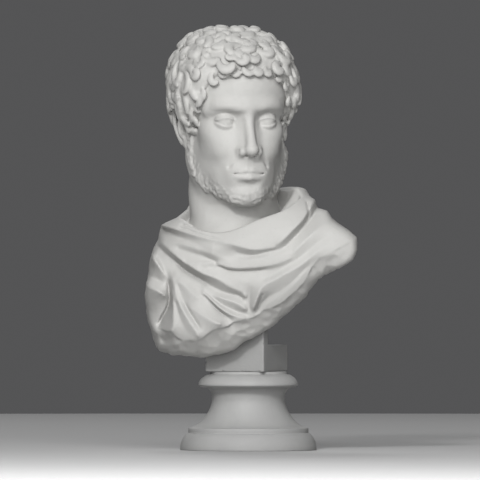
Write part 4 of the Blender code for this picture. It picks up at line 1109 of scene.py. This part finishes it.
def clay_mesh(clay, name):
    """The clay's surface as one closed mesh, in grid units."""
    grid = openvdb.FloatGrid(FAR)
    grid.copyFromArray(clay.field)
    points, quads = grid.convertToQuads(0.0)
    points, quads = largest_piece(points, quads[:, ::-1])
    points = points * clay.step + np.array([axis[0] for axis in clay.axes])
    mesh = bpy.data.meshes.new(name)
    mesh.vertices.add(len(points))
    mesh.vertices.foreach_set("co", points.astype(np.float32).ravel())
    mesh.loops.add(4 * len(quads))
    mesh.loops.foreach_set("vertex_index", quads.astype(np.int32).ravel())
    mesh.polygons.add(len(quads))
    mesh.polygons.foreach_set("loop_start", np.arange(0, 4 * len(quads), 4, dtype=np.int32))
    mesh.update(calc_edges=True)
    return mesh


def vertex_arrays(mesh):
    """The mesh's points and normals as arrays."""
    points = np.empty(3 * len(mesh.vertices), np.float32)
    mesh.vertices.foreach_get("co", points)
    normals = np.empty(3 * len(mesh.vertices), np.float32)
    mesh.vertex_normals.foreach_get("vector", normals)
    return points.reshape(-1, 3).astype(float), normals.reshape(-1, 3).astype(float)


def grain(points, scale, seed):
    """A soft noise between -1 and 1 at each point, with lumps about scale across."""
    shift = Vector((seed * 17.3, seed * 5.1, seed * 11.7))
    return np.array([noise.noise(Vector(p) / scale + shift) for p in points])


def weather(mesh, heights):
    """Roughen the mesh's surface with layers of noise, each of a size and a height."""
    points, normals = vertex_arrays(mesh)
    for seed, (scale, height) in enumerate(heights):
        points += normals * (grain(points, scale, seed) * height)[:, None]
    mesh.vertices.foreach_set("co", points.astype(np.float32).ravel())
    mesh.update()


def simplified(item, triangles):
    """The object's mesh with about as many triangles as given."""
    total = sum(len(face.vertices) - 2 for face in item.data.polygons)
    if total > triangles:
        thin = item.modifiers.new("thin out", "DECIMATE")
        thin.ratio = triangles / total
        thin.use_collapse_triangulate = True
        full = item.data
        graph = bpy.context.evaluated_depsgraph_get()
        item.data = bpy.data.meshes.new_from_object(item.evaluated_get(graph))
        item.modifiers.clear()
        bpy.data.meshes.remove(full)


def quarter(centre, radii, start, end, fullness=2.0, count=16):
    """Points along a quarter of an ellipse in the profile's plane, angles in degrees.

    A fullness over 2 bulges more than an ellipse does, one under 2 less.
    """
    points = []
    for i in range(count + 1):
        turn = math.radians(start + (end - start) * i / count)
        shares = [math.copysign(abs(s) ** (2.0 / fullness), s) for s in (math.cos(turn), math.sin(turn))]
        points.append(tuple(c + r * s for c, r, s in zip(centre, radii, shares)))
    return points


def socle_profile(sizes):
    """The socle's outline from its axis at the top, down the outer side, to its axis at the foot."""
    edge = sizes.wear
    collar_top = sizes.height - sizes.neck_height
    collar_base = collar_top - sizes.collar_height
    collar_bulge = (sizes.collar_radius - sizes.neck_radius, sizes.collar_height - sizes.collar_lip)
    rim_top = sizes.foot_rim + sizes.foot_moulding
    step_top = rim_top + sizes.step_height
    step_edge = sizes.step_radius + 0.5 * edge
    waist = step_top + WAIST_SHARE * (collar_base - step_top)
    lip_radius = sizes.collar_radius - sizes.collar_lip
    upper_hollow = (lip_radius - sizes.waist_radius, collar_base - sizes.collar_lip - waist)
    lower_hollow = (sizes.step_radius - sizes.waist_radius, waist - step_top)
    foot_bulge = (sizes.foot_radius - sizes.step_radius, sizes.foot_moulding - edge)
    return [
        (0.0, sizes.height),
        *quarter((sizes.neck_radius - edge, sizes.height - edge), (edge, edge), 90, 0, count=4),
        (sizes.neck_radius, collar_top),
        *quarter((sizes.neck_radius, collar_base + sizes.collar_lip), collar_bulge, 88, 0, 1.6),
        (sizes.collar_radius, collar_base + edge),
        (sizes.collar_radius - edge, collar_base),
        (lip_radius, collar_base - edge),
        *quarter((lip_radius, waist), upper_hollow, 92, 180, 2.7),
        *quarter((sizes.step_radius, waist), lower_hollow, 186, 270, 1.6),
        (step_edge, step_top - edge),
        (step_edge, rim_top + edge),
        *quarter((sizes.step_radius, sizes.foot_rim), foot_bulge, 88, 0, 1.6),
        *quarter((sizes.foot_radius - edge, edge), (edge, edge), 0, -90, count=4),
        (0.0, 0.0),
    ]


def turned_mesh(name, profile, steps):
    """A closed mesh turned from a profile that begins and ends on the axis."""
    rings = profile[1:-1]
    turns = [2.0 * math.pi * step / steps for step in range(steps)]
    points = [(r * math.cos(turn), r * math.sin(turn), z) for r, z in rings for turn in turns]
    points += [(0.0, 0.0, profile[0][1]), (0.0, 0.0, profile[-1][1])]
    top, foot = len(points) - 2, len(points) - 1
    last = (len(rings) - 1) * steps
    faces = []
    for step in range(steps):
        beside = (step + 1) % steps
        faces.append((top, step, beside))
        faces.append((foot, last + beside, last + step))
        for ring in range(0, last, steps):
            faces.append((ring + step, ring + steps + step, ring + steps + beside, ring + beside))
    mesh = bpy.data.meshes.new(name)
    mesh.from_pydata(points, [], faces)
    return mesh


def mark_recesses(mesh, clay, reaches=(2.5, 5.0, 9.0)):
    """Store at each point how deep it lies between the forms around it, from 0 to 1; the bust's material
    paints shade from it.
    """
    points, normals = vertex_arrays(mesh)
    total = 0.0
    for reach in reaches:
        total = total + np.clip(1.0 - clay.at(points + normals * reach) / reach, 0.0, 1.0)
    recess = mesh.attributes.new("recess", "FLOAT", "POINT")
    recess.data.foreach_set("value", (total / len(reaches)).astype(np.float32))


def settings():
    """All the settings of the bust, kept with the scene."""
    return bpy.context.scene.portrait_bust


def place_piece(name, mesh, node, material):
    """Put a finished mesh in the scene, riding on the model's body in the place of its node."""
    piece = bpy.data.objects.new(name, mesh)
    bpy.context.scene.collection.objects.link(piece)
    mesh.materials.append(material)
    mesh.shade_smooth()
    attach(piece, "root")
    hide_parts(node)
    return piece


def new_node(tree, kind, **values):
    """A new node with some of its inputs or settings given; an underscore stands for a space."""
    node = tree.nodes.new(kind)
    for name, value in values.items():
        title = name.replace("_", " ")
        if title in node.inputs.keys():
            node.inputs[title].default_value = value
        else:
            setattr(node, name, value)
    return node


def noise_over(tree, place, **values):
    """Noise over the piece's own coordinates."""
    node = new_node(tree, "ShaderNodeTexNoise", **values)
    tree.links.new(place.outputs["Object"], node.inputs["Vector"])
    return node.outputs["Fac"]


def spread(tree, source, **ends):
    """The source's values, spread between other ends."""
    node = new_node(tree, "ShaderNodeMapRange", **ends)
    tree.links.new(source, node.inputs["Value"])
    return node.outputs["Result"]


def mixed(tree, factor, first, second):
    """Two colours mixed by a factor; the first is a colour or another node's output."""
    node = new_node(tree, "ShaderNodeMix", data_type="RGBA")
    if isinstance(first, bpy.types.NodeSocket):
        tree.links.new(first, node.inputs["A"])
    else:
        node.inputs["A"].default_value = (*first, 1)
    node.inputs["B"].default_value = (*second, 1)
    tree.links.new(factor, node.inputs["Factor"])
    return node.outputs["Result"]


def honed_marble(name, finish, shade, recess):
    """White marble rubbed to a dull sheen: faint clouds, dark specks, painted shade in the hollows, a fine
    open grain.
    """
    material = bpy.data.materials.new(name)
    material.use_nodes = True
    tree = material.node_tree
    link = tree.links.new
    shader = tree.nodes["Principled BSDF"]
    shader.inputs["IOR"].default_value = 1.49
    shader.inputs["Specular IOR Level"].default_value = 0.35
    place = new_node(tree, "ShaderNodeTexCoord")

    clouds = noise_over(tree, place, Scale=9.0, Detail=4.0, Roughness=0.55, Distortion=0.6)
    drift = spread(tree, clouds, From_Min=0.35, From_Max=0.68)
    pale, cloud = ([c * shade for c in colour] for colour in (finish.pale, finish.cloud))
    stone = mixed(tree, drift, pale, cloud)
    # Dark specks scattered at random: the stone's own colour, in the same dark tint as the painted shade
    specks = noise_over(tree, place, Scale=240.0, Detail=3.0, Roughness=0.7)
    speckle = spread(tree, specks, From_Min=0.56, From_Max=0.72, To_Max=0.20)
    stone = mixed(tree, speckle, stone, finish.speck_and_shade)
    # Painted shade: the deeper a point lies between forms, the more the stone is darkened towards the dark
    # tint
    if recess:
        depth = new_node(tree, "ShaderNodeAttribute", attribute_name="recess")
        painted_hollow_shade = spread(tree, depth.outputs["Fac"], From_Min=0.30, From_Max=0.85, To_Max=0.70)
        stone = mixed(tree, painted_hollow_shade, stone, finish.speck_and_shade)
    link(stone, shader.inputs["Base Color"])

    sheen = spread(tree, clouds, To_Min=finish.roughness - 0.08, To_Max=finish.roughness + 0.10)
    link(sheen, shader.inputs["Roughness"])

    pores = noise_over(tree, place, Scale=700.0, Detail=2.0, Roughness=0.6)
    rub = noise_over(tree, place, Scale=120.0, Detail=3.0, Roughness=0.5)
    both = new_node(tree, "ShaderNodeMath", operation="ADD")
    link(pores, both.inputs[0])
    link(rub, both.inputs[1])
    bump = new_node(tree, "ShaderNodeBump", Strength=0.25, Distance=0.0006)
    link(both.outputs["Value"], bump.inputs["Height"])
    link(bump.outputs["Normal"], shader.inputs["Normal"])
    return material


def length_setting(name, description, default):
    return FloatProperty(name=name, description=description, default=default, min=0.0, unit="LENGTH")


def angle_setting(name, description, default):
    return FloatProperty(name=name, description=description, default=default, unit="ROTATION")


def power_setting(name, description, default):
    return FloatProperty(name=name, description=description, default=default, min=0.0, unit="POWER")


def factor_setting(name, description, default, low=0.1, high=1.0):
    return FloatProperty(
        name=name, description=description, default=default, min=low, max=high, subtype="FACTOR"
    )


def tint_setting(name, description, default):
    return FloatVectorProperty(
        name=name, description=description, default=default, min=0.0, max=1.0, subtype="COLOR"
    )


def number_setting(name, description, default, low, high):
    return IntProperty(name=name, description=description, default=default, min=low, max=high)


class BustCarving(bpy.types.PropertyGroup):
    """How finely the bust is carved."""

    grain: FloatProperty(
        name="Grain", description="Spacing of the sculptor's grid, in its own units", default=1.0,
        min=0.8, max=4.0,
    )
    triangles: number_setting(
        "Triangles", "How many triangles the finished bust may have", 196000, 5000, 199000
    )
    support_triangles: number_setting(
        "Support triangles", "How many triangles the support may have", 40000, 2000, 199000
    )
    fold_height: factor_setting("Fold height", "How strongly the cloak's folds stand out", 1.25, 0.0, 2.0)


class SocleSizes(bpy.types.PropertyGroup):
    """The turned socle's sizes."""

    height: length_setting("Height", "Height of the socle", SOCLE_HIGH.z - SOCLE_LOW.z)
    foot_radius: length_setting("Foot radius", "Radius of the foot", (SOCLE_HIGH.x - SOCLE_LOW.x) / 2)
    foot_rim: length_setting("Foot rim", "Height of the upright rim of the foot", 0.0045)
    foot_moulding: length_setting("Foot moulding", "Height of the round moulding of the foot", 0.0225)
    step_radius: length_setting("Step radius", "Radius of the step on the foot", 0.0915)
    step_height: length_setting("Step height", "Height of the step on the foot", 0.0065)
    waist_radius: length_setting("Waist radius", "Radius of the waist", 0.0555)
    collar_radius: length_setting("Collar radius", "Radius of the collar", 0.0762)
    collar_height: length_setting("Collar height", "Height of the collar", 0.0175)
    collar_lip: length_setting("Collar lip", "Upright lip under the collar", 0.002)
    neck_radius: length_setting("Neck radius", "Radius of the ring on top", 0.0588)
    neck_height: length_setting("Neck height", "Height of the ring on top", 0.004)
    wear: length_setting("Wear", "How far the sharp edges are worn round", 0.0008)
    steps: number_setting("Steps", "Facets round the socle", 240, 24, 360)


class MarbleFinish(bpy.types.PropertyGroup):
    """The marble's colours and sheen."""

    pale: tint_setting("Pale", "The clean stone", (0.60, 0.60, 0.59))
    cloud: tint_setting("Cloud", "The greyer clouds in it", (0.53, 0.53, 0.525))
    # This dark tint colours the random specks in the stone, and it is also the painted shade in the bust's
    # hollows
    speck_and_shade: tint_setting("Specks and shade", "Dark specks in the stone, and painted shade in the hollows", (0.30, 0.295, 0.28))
    socle_shade: factor_setting("Socle shade", "How light the socle is beside the bust", 0.50)
    support_shade: factor_setting("Support shade", "How light the support is beside the bust", 0.43)
    roughness: factor_setting("Roughness", "Roughness of the honed surface", 0.62)


class StudioSetup(bpy.types.PropertyGroup):
    """The lights and the camera."""

    key_power: power_setting("Key light", "Power of the small light that throws the shadows", 77.0)
    front_power: power_setting("Front light", "Power of the large soft light above the camera", 112.0)
    fill_power: power_setting("Fill light", "Power of the low soft light that opens the shadows", 58.0)
    view_turn: angle_setting("View turn", "How far round the camera stands", VIEW_TURN)
    view_rise: angle_setting("View rise", "How far the camera looks down", math.radians(1.0))
    view_width: length_setting("View width", "Width that the camera takes in", 0.7326)


class PortraitBust(bpy.types.PropertyGroup):
    """All the settings of the bust and its studio."""

    carving: PointerProperty(type=BustCarving)
    socle: PointerProperty(type=SocleSizes)
    finish: PointerProperty(type=MarbleFinish)
    studio: PointerProperty(type=StudioSetup)


def grid_step():
    """The spacing of the sculptor's grid, as set in the carving settings."""
    return settings().carving.grain


class BUST_OT_carve(bpy.types.Operator):
    """Carve the head, neck and cloaked chest"""

    bl_idname = "portrait_bust.carve"
    bl_label = "Carve bust"

    def execute(self, context):
        carving, finish = settings().carving, settings().finish
        clay = sculpt_bust(grid_step(), carving.fold_height)
        mesh = clay_mesh(clay, "carved_bust")
        weather(mesh, BUST_WEATHER)
        # With recess on, the bust's material paints shade into its hollows
        marble = honed_marble("bust marble", finish, 1.0, recess=True)
        piece = place_piece("carved_bust", mesh, "bust", marble)
        simplified(piece, carving.triangles)
        mark_recesses(piece.data, clay)
        piece.data.transform(TO_METRES)
        return {"FINISHED"}


class BUST_OT_turn_socle(bpy.types.Operator):
    """Turn the moulded socle"""

    bl_idname = "portrait_bust.turn_socle"
    bl_label = "Turn socle"

    def execute(self, context):
        sizes, finish = settings().socle, settings().finish
        mesh = turned_mesh("turned_socle", socle_profile(sizes), sizes.steps)
        weather(mesh, SOCLE_WEATHER)
        marble = honed_marble("socle marble", finish, finish.socle_shade, recess=False)
        place_piece("turned_socle", mesh, "socle", marble)
        return {"FINISHED"}


class BUST_OT_square_support(bpy.types.Operator):
    """Square the support's block and slab"""

    bl_idname = "portrait_bust.square_support"
    bl_label = "Square support"

    def execute(self, context):
        carving, finish = settings().carving, settings().finish
        mesh = clay_mesh(carve_support(SUPPORT_GRAIN * grid_step()), "squared_support")
        weather(mesh, SUPPORT_WEATHER)
        marble = honed_marble("support marble", finish, finish.support_shade, recess=False)
        piece = place_piece("squared_support", mesh, "support_block", marble)
        simplified(piece, carving.support_triangles)
        piece.data.transform(TO_METRES)
        return {"FINISHED"}


# The studio: the round floor, the air, and how far off the lights and the camera stand
FLOOR_RADIUS = 3.2
FLOOR_GAP = 0.0002
FLOOR_COLOUR = (0.40, 0.40, 0.40)
AIR_COLOUR = (0.09, 0.09, 0.092)
LIGHT_DISTANCE = 4.0
LIT_HEIGHT = 0.36
BACK_SHARE = 0.7
CAMERA_DISTANCE = 3.0
AIM_RIGHT = -0.0127
AIM_HEIGHT = 0.3205

# The lights, each with its degrees round from the camera, its degrees up and its width
LIGHTS = [("key", -14, 28, 0.48), ("front", -4, 34, 2.88), ("fill", 6, 6, 1.92), ("back", 190, 40, 1.60)]


def pale_floor():
    """A plain matt floor with a trace of unevenness."""
    material = bpy.data.materials.new("pale floor")
    material.use_nodes = True
    tree = material.node_tree
    shader = tree.nodes["Principled BSDF"]
    shader.inputs["Roughness"].default_value = 0.8
    spots = new_node(tree, "ShaderNodeTexNoise", Scale=6.0, Detail=3.0)
    tone = mixed(tree, spots.outputs["Fac"], FLOOR_COLOUR, [c * 0.95 for c in FLOOR_COLOUR])
    tree.links.new(tone, shader.inputs["Base Color"])
    return material


def lay_floor(scene):
    """A round floor just under the socle."""
    form = bmesh.new()
    bmesh.ops.create_circle(form, cap_ends=True, radius=FLOOR_RADIUS, segments=96)
    mesh = bpy.data.meshes.new("floor")
    form.to_mesh(mesh)
    form.free()
    mesh.materials.append(pale_floor())
    floor = bpy.data.objects.new("floor", mesh)
    floor.location.z = SOCLE_LOW.z - FLOOR_GAP
    scene.collection.objects.link(floor)


def around_bust(turn, rise, distance, height):
    """A place at a distance from the axis, turned from the front and raised, all as seen from the bust."""
    return Vector((math.sin(turn) * math.cos(rise) * distance, -math.cos(turn) * math.cos(rise) * distance,
                   height + math.sin(rise) * distance))


def set_lights(scene, studio):
    """Round soft lights that look at the bust's middle."""
    powers = {"key": studio.key_power, "front": studio.front_power, "fill": studio.fill_power,
              "back": BACK_SHARE * studio.fill_power}
    middle = Vector((0, 0, LIT_HEIGHT))
    for name, side, rise, width in LIGHTS:
        lamp = bpy.data.lights.new(name, "AREA")
        lamp.shape = "DISK"
        lamp.size = width
        lamp.energy = powers[name]
        light = bpy.data.objects.new(name, lamp)
        turn = studio.view_turn + math.radians(side)
        light.location = around_bust(turn, math.radians(rise), LIGHT_DISTANCE, LIT_HEIGHT)
        light.rotation_euler = (middle - light.location).to_track_quat("-Z", "Y").to_euler()
        scene.collection.objects.link(light)


def fill_air(scene):
    """A dark grey air all round."""
    scene.world = bpy.data.worlds.new("studio air")
    scene.world.use_nodes = True
    background = scene.world.node_tree.nodes["Background"]
    background.inputs["Color"].default_value = (*AIR_COLOUR, 1)
    background.inputs["Strength"].default_value = 1.0


def place_camera(scene, studio):
    """A camera without perspective, turned to the bust's left and a little above it."""
    lens = bpy.data.cameras.new("camera")
    lens.type = "ORTHO"
    lens.ortho_scale = studio.view_width
    camera = bpy.data.objects.new("camera", lens)
    turn = studio.view_turn
    aim = Vector((math.cos(turn) * AIM_RIGHT, math.sin(turn) * AIM_RIGHT, AIM_HEIGHT))
    back = around_bust(turn, studio.view_rise, CAMERA_DISTANCE, 0.0)
    camera.location = aim + back
    camera.rotation_euler = (-back).to_track_quat("-Z", "Y").to_euler()
    scene.collection.objects.link(camera)
    scene.camera = camera


class BUST_OT_set_stage(bpy.types.Operator):
    """Lay the floor, set the lights and place the camera"""

    bl_idname = "portrait_bust.set_stage"
    bl_label = "Set stage"

    def execute(self, context):
        scene, studio = context.scene, settings().studio
        lay_floor(scene)
        set_lights(scene, studio)
        fill_air(scene)
        place_camera(scene, studio)
        scene.view_settings.view_transform = "Standard"
        return {"FINISHED"}


class BUST_PT_panel(bpy.types.Panel):
    """The bust's settings and steps, in the 3D view's sidebar"""

    bl_idname = "BUST_PT_panel"
    bl_label = "Portrait bust"
    bl_space_type = "VIEW_3D"
    bl_region_type = "UI"
    bl_category = "Bust"

    def draw(self, context):
        layout = self.layout
        groups = context.scene.portrait_bust
        for group in (groups.carving, groups.socle, groups.finish, groups.studio):
            box = layout.box()
            for name in group.bl_rna.properties.keys():
                if name not in ("rna_type", "name"):
                    box.prop(group, name)
        for step in STEPS:
            layout.operator(step.bl_idname)


STEPS = (BUST_OT_carve, BUST_OT_square_support, BUST_OT_turn_socle, BUST_OT_set_stage)
CLASSES = (BustCarving, SocleSizes, MarbleFinish, StudioSetup, PortraitBust, *STEPS, BUST_PT_panel)


def register():
    for item in CLASSES:
        bpy.utils.register_class(item)
    bpy.types.Scene.portrait_bust = PointerProperty(type=PortraitBust)


def unregister():
    del bpy.types.Scene.portrait_bust
    for item in reversed(CLASSES):
        bpy.utils.unregister_class(item)


def main():
    register()
    bpy.ops.portrait_bust.carve()
    bpy.ops.portrait_bust.square_support()
    bpy.ops.portrait_bust.turn_socle()
    bpy.ops.portrait_bust.set_stage()


if __name__ == "__main__":
    main()
